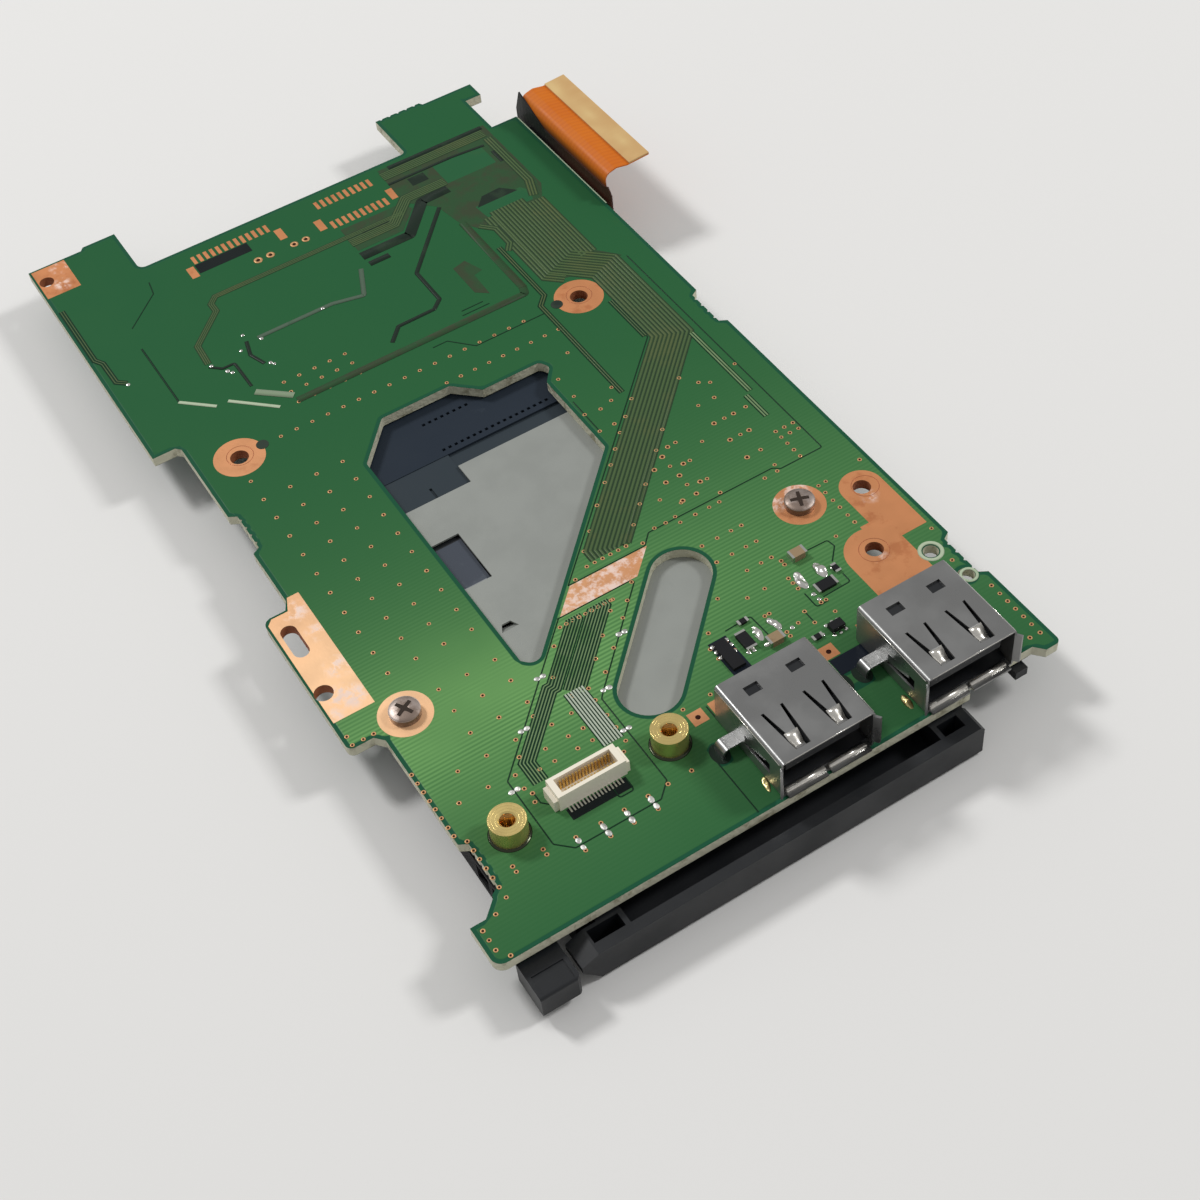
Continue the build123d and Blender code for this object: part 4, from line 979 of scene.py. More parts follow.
@dataclass
class MaskSkin:
    """The solder mask on top: a thin closed skin with a low rim along every cut edge.

    Widths and heights are in millimetres.
    """

    shop: Workshop
    rim: float = 0.55
    pour: float = 0.66
    grid_margin: float = 1.8
    foot: float = 0.002
    low_lift: float = 0.008
    high_lift: float = 0.04
    grid: float = 2.4
    sampling: float = 1.2

    def build(self) -> None:
        """Make the skin from the board's own top outline, then its underside and the sides between."""
        outline, edges = self._outline()
        points = [tuple(point) for point in outline]
        extra = self._rings(outline, edges) + self._grid(outline, edges)
        flat = [Vector(point) for point in points + extra]
        places, _, faces, *_ = geometry.delaunay_2d_cdt(flat, edges, [], 1, 1e-7)
        spots = np.array([tuple(place) for place in places])
        centres = np.array([spots[list(face)].mean(0) for face in faces])
        inside = self._inside(centres, outline, edges)
        kept = [face for face, held in zip(faces, inside) if held]
        away = self._away(spots, outline, edges)
        share = np.clip((away / MM - self.rim) / (self.pour - self.rim), 0, 1)
        lift = self.low_lift + (self.high_lift - self.low_lift) * share
        top = self.shop.plan.top
        first = spots[list(kept[0])[:3]]
        if np.linalg.det(np.column_stack((first, np.ones(3)))) < 0:
            kept = [face[::-1] for face in kept]
        count = len(spots)
        sides = {(a, b) for face in kept for a, b in zip(face, (*face[1:], face[0]))}
        border = sorted((a, b) for a, b in sides if (b, a) not in sides)
        faces = [*kept, *([i + count for i in face[::-1]] for face in kept)]
        faces += [(b, a, a + count, b + count) for a, b in border]
        levels = ([top + z * MM for z in lift], [top + self.foot * MM] * count)
        corners = [(x, y, z) for level in levels for (x, y), z in zip(spots, level)]
        mesh = self.shop.add("mask_skin", corners, faces, "solder_mask", Slot.BOARD)
        attribute = mesh.attributes.new("edge_distance", "FLOAT", "POINT")
        attribute.data.foreach_set("value", np.concatenate((away, away)).astype(np.float32))

    def _outline(self) -> tuple[np.ndarray, list[Edge]]:
        """Points and border edges of the board's top face."""
        source = bpy.data.objects["circuit_board"].data
        level = self.shop.plan.top - 0.01 * MM
        keys: dict[tuple[int, int], int] = {}
        places: list[Point] = []
        count: dict[tuple[int, int], int] = {}
        for face in source.polygons:
            corners = [source.vertices[i].co for i in face.vertices]
            if min(corner.z for corner in corners) < level:
                continue
            ring = []
            for corner in corners:
                key = (round(corner.x * 1e7), round(corner.y * 1e7))
                if key not in keys:
                    keys[key] = len(places)
                    places.append((corner.x, corner.y))
                ring.append(keys[key])
            for a, b in zip(ring, ring[1:] + ring[:1]):
                edge = (min(a, b), max(a, b))
                count[edge] = count.get(edge, 0) + 1
        return np.array(places), [edge for edge, uses in count.items() if uses == 1]

    def _rings(self, outline: np.ndarray, edges: list[Edge]) -> list[Point]:
        """Points beside every border edge, at the rim's inner and outer lines."""
        found = []
        for a, b in edges:
            start, end = outline[a], outline[b]
            run = end - start
            length = float(np.hypot(*run))
            side = np.array((-run[1], run[0])) / max(length, 1e-9)
            steps = max(1, round(length / (self.sampling * MM)))
            for index in range(steps):
                middle = start + run * (index + 0.5) / steps
                for way in (-1, 1):
                    for reach in (self.rim, self.pour, 2 * self.pour):
                        found.append(middle + side * way * reach * MM)
        spots = np.array(found)
        near = self._away(spots, outline, edges)
        inside = self._inside(spots, outline, edges)
        kept = spots[inside & (near > self.rim * MM * 0.97)]
        return [tuple(point) for point in kept]

    def _grid(self, outline: np.ndarray, edges: list[Edge]) -> list[Point]:
        """Points spread evenly over the inner board."""
        low, high = outline.min(0), outline.max(0)
        columns, rows = (np.arange(start, end, self.grid * MM) for start, end in zip(low, high))
        spots = np.array([(x, y) for x in columns for y in rows])
        near = self._away(spots, outline, edges)
        inside = self._inside(spots, outline, edges)
        return [tuple(point) for point in spots[inside & (near > self.grid_margin * MM)]]

    def _inside(self, spots: np.ndarray, outline: np.ndarray, edges: list[Edge]) -> np.ndarray:
        """Whether each spot lies on the board, by counting crossings."""
        result = np.zeros(len(spots), bool)
        for a, b in edges:
            (x0, y0), (x1, y1) = outline[a], outline[b]
            if y0 == y1:
                continue
            spans = (spots[:, 1] > y0) != (spots[:, 1] > y1)
            cross = x0 + (spots[:, 1] - y0) * (x1 - x0) / (y1 - y0)
            result ^= spans & (spots[:, 0] < cross)
        return result

    def _away(self, spots: np.ndarray, outline: np.ndarray, edges: list[Edge]) -> np.ndarray:
        """Distance from each spot to the nearest border edge."""
        best = np.full(len(spots), 1.0)
        for a, b in edges:
            start, run = outline[a], outline[b] - outline[a]
            share = np.clip((spots - start) @ run / max(float(run @ run), 1e-18), 0, 1)
            gap = spots - start - share[:, None] * run
            best = np.minimum(best, np.hypot(gap[:, 0], gap[:, 1]))
        return best


@dataclass
class ViaField:
    """Plated through holes over the whole board."""

    shop: Workshop
    trees: Trees
    lift: float = 0.045
    pads: tuple[Point, ...] = ((32.0, 133.1), (34.2, 133.1), (38.5, 133.1), (40.6, 133.1))
    clear_row: float = 45.0
    columns: tuple[float, ...] = (10.0, 14.25, 18.5, 22.75)
    rows: tuple[float, ...] = (31.3, 35.6, 39.8, 46.1, 50.3, 54.6, 58.8, 63.1, 67.3, 71.6, 75.9, 80.2, 84.5)
    loose: tuple[Point, ...] = (
        (10, 88.9), (10, 27), (14.2, 27), (18.5, 27), (23.5, 26.4), (26.5, 26.5), (30.1, 26.5),
        (20.9, 23.6), (24.3, 23.6), (26.5, 23.6), (30.1, 23.6), (7.8, 22.7), (12, 22.7), (15.7, 22.3), (17.5, 24.4),
        (18.7, 21.3), (20.9, 21.3), (24.3, 21.3), (26.5, 21.3), (30.0, 21.3), (15.6, 19.9), (16.1, 18.7), (15.7, 17.4),
        (29.9, 18.8), (28.8, 17.5), (3.7, 6.3), (2.4, 0.5), (0.8, 40), (0.8, 38.4), (2.4, 38.4), (3.9, 38.4),
        (8.7, 10.9), (8.7, 10.0), (13, 10.9), (13, 10.0), (30.7, 10.2), (34.2, 10.2), (38.5, 18.7), (42.7, 18.7),
        (81.5, 2.5), (81.7, 18.7), (83, 24.8), (82.9, 40.9), (52.4, 31.4), (55.7, 29.2), (58.5, 29.2), (48.1, 27.2),
        (75.3, 40.2), (76.6, 40.3), (75.3, 38.6), (75.3, 36.8), (75.3, 35.2), (75.3, 33.4), (75.3, 31.8), (71.7, 31.2),
        (46.8, 24.8), (47.6, 24.8), (49.3, 24.8), (46.8, 22.9), (49.4, 22.9), (56.5, 25.3), (55.8, 25.3),
        (56.6, 21.4), (56.6, 20.6), (58.7, 21.8), (60.5, 20.6), (63.8, 20.6), (60.5, 22.9), (63.2, 22.9), (64.0, 22.9),
        (62.1, 26.6), (62.1, 27.8), (62.1, 28.8), (63.1, 31.1), (63.1, 31.9), (58.0, 48.8),
        (52.4, 47.0), (55.9, 47.1), (63.5, 47.2), (72.7, 47.1), (55.9, 45.8), (58.4, 45.8), (60.7, 45.8), (62.4, 45.8),
        (70.1, 45.8), (72.3, 45.9), (76.6, 46.4), (76.6, 47.9), (76.6, 49.5), (49.6, 45.6), (38.6, 45.4),
        (42.2, 49.1), (44.8, 51.8), (48.2, 55.3), (51.4, 58.4), (53.9, 60.8), (56.1, 63.1), (58.4, 65.5), (60.8, 67.8),
        (63.5, 70.4), (50.4, 49.2), (53.2, 52.0), (55.9, 54.7), (55.9, 51.0), (60.6, 55.6), (60.6, 51.2), (63.5, 50.5),
        (63.5, 54.9), (72.8, 50.7), (72.2, 54.9), (56.2, 67.5), (58.7, 67.5), (56.2, 71.7), (58.7, 71.3), (60.9, 71.9),
        (62.4, 74.2), (56.9, 75.9), (56.9, 80.4), (61.0, 84.5), (27.5, 32.8), (28.0, 28.8), (22.2, 28.9), (30.4, 28.6),
        (33.7, 32.2), (36.5, 35.0), (39.6, 38.0), (42.4, 38.2), (36.6, 32.4), (33.6, 29.6), (44.6, 40.6), (30.3, 37.2),
        (40.3, 36.0), (40.9, 39.5), (54.2, 46.9), (74.7, 66.4), (71.5, 69.9), (73.3, 67.4), (79.8, 67.5), (70.6, 63.4),
        (73.4, 63.4), (63.7, 62.4), (72.2, 59.0), (76.0, 59.1), (63.8, 59.1), (60.7, 59.4), (67.0, 57.0),
    )
    lattices: tuple[tuple[tuple[float, ...], tuple[float, ...]], ...] = (
        ((4.9,), (29.9, 28.3, 26.7, 25.1, 23.6, 22.0, 20.3, 18.8)),
        ((5.9,), (17.2, 15.6, 14.1, 12.5, 10.9, 9.3, 7.6)),
        ((1.3,), (5.2, 3.7, 2.1)),
        ((83.1,), (12.2, 10.5, 8.9, 7.3, 5.7, 4.1, 2.4)),
        ((55.9,), (40.4, 36.8)), ((58.4, 60.7, 62.4), (40.4, 36.8, 33.2)),
        ((17.2, 20.8, 24.2, 27.7), (10.1, 7.8)),
        (steps(32.6, 1.0, 9), (39.5,)), (steps(41.1, 1.27, 6), (46.5,)), (steps(76.6, 1.5, 3), (51.0, 52.4)),
        (steps(15.0, 2.6, 18), (94.6,)), (steps(43.0, 2.45, 9), (89.8,)), (steps(23.0, 2.6, 5), (99.6, 102.3, 104.8)),
    )
    ringed: tuple[Point, ...] = (
        (58.4, 56.3), (60.7, 57.8), (58.4, 53.3), (60.7, 53.3), (62.4, 54.9), (62.4, 50.6), (58.4, 49.0), (60.7, 49.0),
        (70.4, 50.6), (70.4, 54.9), (73.7, 54.9), (62.4, 59.0), (70.4, 59.0), (73.8, 59.0),
    )

    def build(self) -> None:
        """Grow the rings on their places."""
        places = [(x, y) for x in self.columns for y in self.rows if x > self.columns[0] or y > self.clear_row]
        places += self.loose
        places += [(x, y) for across, along in self.lattices for x in across for y in along]
        self._grow("small_vias", places, 0.33, 0.15, 3)
        self._grow("ringed_vias", self.ringed, 0.42, 0.2, 5)
        self._grow("pad_vias", self.pads, 0.75, 0.3, 7)

    def _grow(self, name: str, places: Iterable[Point], ring: float, hole: float, seed: int) -> None:
        """Grow one size of ring."""
        source = self.shop.cloud(name, places, self.lift)
        self.shop.grown(name, source, self.trees.ring_field, Slot.COPPER, {
            "Ring Radius": ring * MM, "Hole Radius": hole * MM, "Seed": seed,
            "Ring Finish": self.shop.finishes["via_copper"], "Hole Finish": self.shop.finishes["hole_dark"],
        })


def beside(run: Sequence[Point], gap: float) -> list[Point]:
    """A run shifted sideways, with every corner kept at the same distance from both its sides.

    Args:
        run: places along the run.
        gap: shift to the left of the run's direction, in millimetres.

    Returns:
        The shifted places.
    """
    spots = np.array(run, float)
    steps = np.diff(spots, axis=0)
    steps /= np.hypot(steps[:, 0], steps[:, 1])[:, None]
    sides = np.stack((-steps[:, 1], steps[:, 0]), 1)
    before, after = np.vstack((sides[:1], sides)), np.vstack((sides, sides[-1:]))
    shift = gap * (before + after) / (1 + (before * after).sum(1))[:, None]
    return [(float(x), float(y)) for x, y in spots + shift]


@dataclass(frozen=True)
class Bus:
    """A bundle of parallel tracks on a darker bed."""

    name: str
    run: tuple[Point, ...]
    count: int
    pitch: float
    line: str = "track_mask"
    bed: str = "groove_mask"
    share: float = 0.6


BROWN = {"line": "brown_track", "bed": "brown_groove"}


@dataclass
class Tracks:
    """Tracks, the grooves between them and the darker fields, as the mask shows them.

    Lifts are heights above the board's top, and each step sets the next piece of a kind a little higher.
    """

    shop: Workshop
    trees: Trees
    field_lift: float = 0.044
    field_step: float = 0.0006
    field_thick: float = 0.008
    bed_margin: float = 0.16
    bed_lift: float = 0.052
    bed_step: float = 0.0015
    line_rise: float = 0.01
    strip_thick: float = 0.012
    corner: float = 0.35
    wide_lift: float = 0.06
    wide_step: float = 0.002
    groove_width: float = 0.19
    groove_lift: float = 0.056
    buses: tuple[Bus, ...] = (
        Bus("upper_bus_left", ((67.2, 119.6), (67.2, 101.4), (69.4, 99.2)), 3, 0.6, **BROWN),
        Bus("upper_bus_right", ((75.6, 118.8), (75.6, 102.2)), 5, 0.6, **BROWN),
        Bus("upper_bus", ((71.0, 120.5), (71.0, 103.0), (75.95, 98.0), (75.95, 78.6), (45.1, 47.75), (45.1, 46.9)),
            10, 0.62, **BROWN),
        Bus("lower_left_bus", ((34.9, 40.1), (34.9, 39.5), (26.8, 31.4), (26.15, 31.4), (17.85, 23.1), (17.85, 19.6)),
            5, 0.42, share=0.42),
        Bus("lower_right_bus", ((38.8, 40.1), (38.8, 39.5), (28.6, 29.3)), 7, 0.42, share=0.42),
        Bus("connector_bus", ((28.6, 29.5), (28.6, 19.6)), 7, 0.42, "pale_track"),
        Bus("back_bus", ((56.5, 129.3), (22.6, 129.3), (21.3, 128.0), (21.3, 126.0), (15.5, 120.2), (15.2, 115.5)),
            3, 0.32, **BROWN),
        Bus("field_bus_low", ((58.0, 139.6), (77.6, 139.6)), 5, 0.42, **BROWN),
        Bus("field_bus_high", ((46.0, 127.6), (54.0, 127.6), (58.6, 132.2), (66.0, 132.2)), 5, 0.4, **BROWN),
        Bus("field_bus_right", ((77.4, 138.0), (77.4, 124.0), (76.0, 120.0)), 3, 0.5, **BROWN),
        Bus("island_bus", ((64.9, 118.6), (66.8, 116.4), (66.8, 112.0), (65.6, 110.4)), 2, 0.5, **BROWN),
        Bus("right_pair", ((78.4, 77.0), (78.4, 61.5)), 2, 0.42),
        Bus("right_pair_low", ((77.4, 61.0), (77.4, 55.8)), 2, 0.42),
        Bus("left_pair", ((1.0, 141.0), (1.0, 127.0), (1.8, 125.6), (1.9, 120.4), (3.2, 119.2)), 2, 0.42,
            "brown_track", "groove_mask", 0.4),
        Bus("loop_pair", ((63.1, 72.4), (63.1, 96.0), (64.8, 97.8), (64.8, 112.0)), 2, 0.4, "brown_track",
            "groove_mask", 0.5),
        Bus("window_pair", ((72.4, 90.5), (72.4, 80.6)), 2, 0.4, "brown_track", "groove_mask", 0.5),
    )
    grooves: tuple[tuple[Point, ...], ...] = (
        ((33.2, 40.9), (14.4, 22.0), (14.4, 10.8), (16.4, 8.8), (28.8, 8.8), (30.9, 10.8), (30.9, 26.2), (31.7, 27.1),
         (45.4, 40.9), (33.0, 40.9)),
        ((37.2, 45.05), (49.6, 45.05), (51.3, 46.8), (72.0, 46.8), (73.0, 46.0), (80.1, 46.0), (80.1, 98.0)),
        ((37.3, 45.1), (72.6, 80.2), (72.6, 90.5)),
        ((37.5, 0.4), (37.5, 9.4)), ((16.2, 18.4), (16.2, 16.9), (17.0, 16.1)), ((41.2, 17.4), (41.2, 13.4)),
        ((62.9, 94.2), (50.6, 94.2), (47.5, 97.8), (45.0, 97.8)),
        ((24.7, 14.0), (24.7, 11.9), (26.8, 11.9), (26.8, 14.0)),
        ((50.1, 26.2), (54.2, 26.4), (54.4, 22.0)), ((67.0, 31.4), (70.3, 31.3), (70.5, 29.9), (68.6, 27.8)),
        ((62.3, 25.4), (62.3, 22.6), (64.2, 22.6)), ((68.5, 25.3), (68.5, 23.6), (64.0, 23.5)),
        ((52.2, 101.4), (57.0, 101.4)), ((52.6, 102.4), (56.4, 102.4)), ((15.3, 139.0), (14.8, 136.0), (8.7, 130.3)),
        ((48.5, 24.0), (47.5, 20.5)), ((60.5, 22.9), (60.5, 20.6)), ((56.2, 75.0), (56.2, 67.6)),
    )
    wide: tuple[tuple[str, float, tuple[Point, ...]], ...] = (
        ("dark_mask", 2.0, ((46.0, 123.6), (54.8, 123.6), (60.5, 130.0), (65.5, 130.2))),
        ("dark_mask", 1.2, ((46.2, 121.2), (49.8, 121.2))), ("dark_mask", 1.2, ((48.8, 128.8), (53.6, 128.8))),
        ("dark_mask", 0.7, ((76.4, 134.4), (76.4, 131.0))), ("dark_mask", 1.0, ((60.0, 141.2), (78.0, 141.2))),
        ("dark_mask", 0.6, ((58.0, 137.2), (70.0, 137.2), (76.0, 136.6))),
        ("dark_mask", 0.7, ((62.0, 126.8), (51.2, 114.6), (51.2, 107.0), (49.4, 105.4), (43.0, 105.3), (40.5, 102.6))),
        ("brown_mask", 1.3, ((23.0, 100.0), (62.6, 100.0), (63.1, 101.5), (63.1, 121.0))),
        ("grey_mask", 0.8, ((24.0, 116.3), (37.0, 116.3), (42.0, 115.0), (44.5, 121.0))),
        # Painted reflections: the two diagonal bare_laminate strips here and the wide diagonal strip from (18.5,
        # 105.5) below stand for reflections off diagonal traces.
        ("bare_laminate", 0.6, ((8.0, 110.5), (12.4, 106.2))), ("bare_laminate", 0.6, ((14.3, 106.2), (20.2, 100.3))),
        ("bare_laminate", 0.22, ((84.42, 111.0), (84.42, 139.6))),
        ("shiny_mask", 1.2, ((18.5, 105.5), (23.0, 101.3))), ("groove_mask", 0.3, ((8.1, 125.0), (8.1, 110.6))),
        ("dark_mask", 0.5, ((15.0, 114.8), (16.6, 113.2), (18.6, 113.2), (18.6, 107.0))),
        ("dark_mask", 0.6, ((22.2, 116.6), (21.4, 113.4), (22.4, 110.4))),
    )
    fields: tuple[tuple[str, tuple[Point, ...]], ...] = (
        ("brown_mask", ((66.6, 118.2), (66.6, 101.6), (68.4, 99.6), (72.2, 98.6), (79.6, 98.6), (77.0, 102.0),
                        (75.4, 104.0), (75.4, 118.2))),
        ("brown_mask", ((58.2, 141.6), (57.8, 131.6), (61.8, 127.2), (62.8, 121.0), (64.6, 118.2), (76.6, 118.2),
                        (78.6, 122.0), (78.6, 141.6))),
        ("brown_mask", ((56.4, 112.0), (56.4, 105.0), (58.2, 103.4), (58.4, 108.6), (60.0, 109.0), (58.8, 112.6))),
        ("brown_mask", ((46.2, 131.6), (46.2, 125.2), (54.4, 125.2), (58.4, 129.4), (57.0, 131.6))),
        ("green_island", ((67.2, 119.2), (75.4, 119.2), (76.2, 121.6), (75.2, 123.2), (66.8, 123.2))),
        ("green_island", block(66.2, 75.4, 131.4, 137.0)),
        ("dark_mask", ((67.0, 122.8), (74.6, 122.8), (72.4, 125.2), (69.0, 125.0))),
        ("dark_mask", block(61.2, 64.2, 134.4, 136.6)), ("black_mask", block(23.0, 32.3, 135.9, 138.3)),
        ("navy_mask", ((58.2, 11.5), (66.4, 11.6), (66.4, 14.3), (58.2, 14.3))),
        ("navy_mask", block(46.9, 49.7, 19.4, 25.6)),
    )

    def build(self) -> None:
        """Lay the fields first, then beds, tracks and grooves above them."""
        for index, (finish, outline) in enumerate(self.fields):
            lift = self.field_lift + self.field_step * index
            self.shop.plate(f"track_field_{index:02d}", outline, lift, self.field_thick, finish)
        for index, bus in enumerate(self.buses):
            width = bus.count * bus.pitch + self.bed_margin
            level = self.bed_lift + self.bed_step * index
            outline = beside(bus.run, width / 2) + beside(bus.run, -width / 2)[::-1]
            self.shop.plate(bus.name + "_bed", outline, level - self.strip_thick / 2, self.strip_thick, bus.bed)
            middle = (bus.count - 1) / 2
            runs = [beside(bus.run, (place - middle) * bus.pitch) for place in range(bus.count)]
            self._strip(bus.name + "_lines", runs, bus.pitch * bus.share, level + self.line_rise, bus.line)
        for index, (finish, width, run) in enumerate(self.wide):
            self._strip(f"wide_strip_{index:02d}", [run], width, self.wide_lift + self.wide_step * index, finish)
        self._strip("thin_grooves", self.grooves, self.groove_width, self.groove_lift, "groove_mask")

    def _strip(self, name: str, runs: Sequence[Sequence[Point]], width: float, lift: float, finish: str) -> None:
        """Lay one width of strip.

        Args:
            name: the piece's name.
            runs: places along every strip.
            width: the strips' width in millimetres.
            lift: height of the strips' middle above the board's top, in millimetres.
            finish: the material's name.
        """
        source = self.shop.lines(name, runs, lift)
        self.shop.grown(name, source, self.trees.ribbon, Slot.BOARD, {
            "Width": width * MM, "Height": self.strip_thick * MM, "Corner": self.corner * MM,
            "Finish": self.shop.finishes[finish],
        })


@dataclass(frozen=True)
class Drop:
    """One kind of solder drop: its size and where it sits."""

    name: str
    size: Place
    places: tuple[Point, ...]
    finish: str = "dull_solder"


@dataclass
class SolderWork:
    """Solder drops, bars and blobs on the board's top, with two drops at every link."""

    shop: Workshop
    trees: Trees
    links: tuple[Point, ...] = (
        (26.1, 33.8), (20.1, 27.7), (14.4, 20.3), (32.2, 27.2), (38.8, 33.9), (30.9, 20.3),
    )
    kinds: tuple[Drop, ...] = (
        Drop("via_bars", (0.72, 0.95, 0.18), tuple((x, y) for x in (17.2, 20.8, 24.2, 27.7) for y in (9.45, 8.3))),
        Drop("tall_pads", (1.3, 2.9, 0.5), ((53.3, 23.4), (56.1, 23.5), (63.2, 27.5), (66.4, 27.6)), "wet_solder"),
        Drop("flux_blobs", (0.9, 2.4, 0.5), ((40.6, 3.2), (62.4, 3.3)), "flux_solder"),
        Drop("array_pads", (0.6, 0.62, 0.2), (
            (47.2, 24.9), (49.4, 24.9), (47.2, 23.9), (49.5, 23.9), (47.2, 22.9), (49.4, 22.8), (48.3, 20.4),
            (48.4, 22.0), (48.3, 24.0), (63.2, 24.6), (63.3, 23.5), (60.2, 18.3), (57.4, 18.3), (61.4, 17.4),
            (62.3, 17.3), (63.2, 17.4), (61.4, 19.3), (62.4, 19.4), (63.2, 19.3), (51.4, 21.4), (50.6, 21.5),
            (57.6, 21.6), (53.2, 21.2), (68.6, 26.2), (68.0, 26.9), (22.3, 118.3), (15.4, 114.8), (20.6, 115.2),
            (23.2, 110.0), (17.5, 111.5), (3.2, 118.8), (35.3, 116.3), (17.0, 112.2), (23.6, 109.4), (24.4, 115.8),
        ), "wet_solder"),
    )
    lift: float = 0.05
    link_size: Place = (0.85, 0.75, 0.26)
    link_half: float = 0.42

    def build(self) -> None:
        """Grow every kind of drop."""
        pairs = tuple((x + way * self.link_half, y) for x, y in self.links for way in (-1, 1))
        for kind in (Drop("link_drops", self.link_size, pairs), *self.kinds):
            source = self.shop.cloud(kind.name, kind.places, self.lift)
            length, width, rise = kind.size
            self.shop.grown(kind.name, source, self.trees.drops, Slot.TINNED, {
                "Length": length * MM, "Width": width * MM, "Rise": rise * MM, "Seed": len(kind.name),
                "Finish": self.shop.finishes[kind.finish],
            })


@dataclass
class SpacerDress:
    """Thread, solder fillet and turned rim of the two brass spacers; the fillet is coloured dark as painted shade and
    reflection at the foot.
    """

    shop: Workshop
    nodes: tuple[str, ...] = ("spacer_left", "spacer_right")
    bore: float = 1.0
    pitch: float = 0.4
    depth: float = 0.12
    half_tooth: float = 0.16
    thread_parts: int = 28
    thread_gap: float = 0.25
    foot: tuple[Point, ...] = ((0.34, 0.045), (0.2, 0.07), (0.06, 0.16), (-0.02, 0.3), (-0.3, 0.3), (-0.3, 0.045))
    ring_height: float = 3.2
    ring_width: float = 0.06
    rings: tuple[float, ...] = (1.5, 1.95, 2.3)
    parts: int = 48

    def build(self) -> None:
        """Add the thread, the dark fillet and the turned rings to each spacer."""
        for node in self.nodes:
            low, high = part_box(node)
            middle = (low + high) / 2
            self._thread(node + "_thread", middle, low.z, high.z - self.thread_gap * MM)
            radius = (high.x - low.x) / 2 / MM
            section = [(radius + out, rise) for out, rise in self.foot]
            # The fillet is a real solder fillet, coloured dark as painted shade and reflection.
            foot = Vector((middle.x, middle.y, self.shop.plan.top))
            self.shop.lathe(node + "_foot", foot, section, self.parts, "foot_solder", Slot.TINNED)
            top = Vector((middle.x, middle.y, self.shop.plan.top + self.ring_height * MM))
            for index, reach in enumerate(self.rings):
                ring = block(reach, reach + self.ring_width, -0.02, 0.006)
                self.shop.lathe(f"{node}_turned_{index}", top, ring, self.parts, "turned_brass", Slot.BRASS)

    def _thread(self, name: str, middle: Vector, low: float, high: float) -> None:
        """Sweep a tooth along a helix on the bore's wall."""
        root = self.bore + 0.02
        tooth = ((root, -self.half_tooth), (self.bore - self.depth, 0.0), (root, self.half_tooth))
        parts = self.thread_parts
        turns = (high - low) / MM / self.pitch - 1
        points, faces = [], []
        for index in range(int(turns * parts) + 1):
            angle = 2 * math.pi * index / parts
            height = low + (0.2 + self.pitch * index / parts) * MM
            for radius, rise in tooth:
                points.append((middle.x + radius * MM * math.cos(angle), middle.y + radius * MM * math.sin(angle),
                               height + rise * MM))
            if index:
                last, now = 3 * (index - 1), 3 * index
                faces += [(last + a, last + b, now + b, now + a) for a, b in ((0, 1), (1, 2), (2, 0))]
        faces += [(0, 2, 1), (len(points) - 3, len(points) - 2, len(points) - 1)]
        self.shop.add(name, points, faces, "thread_brass", Slot.BRASS)


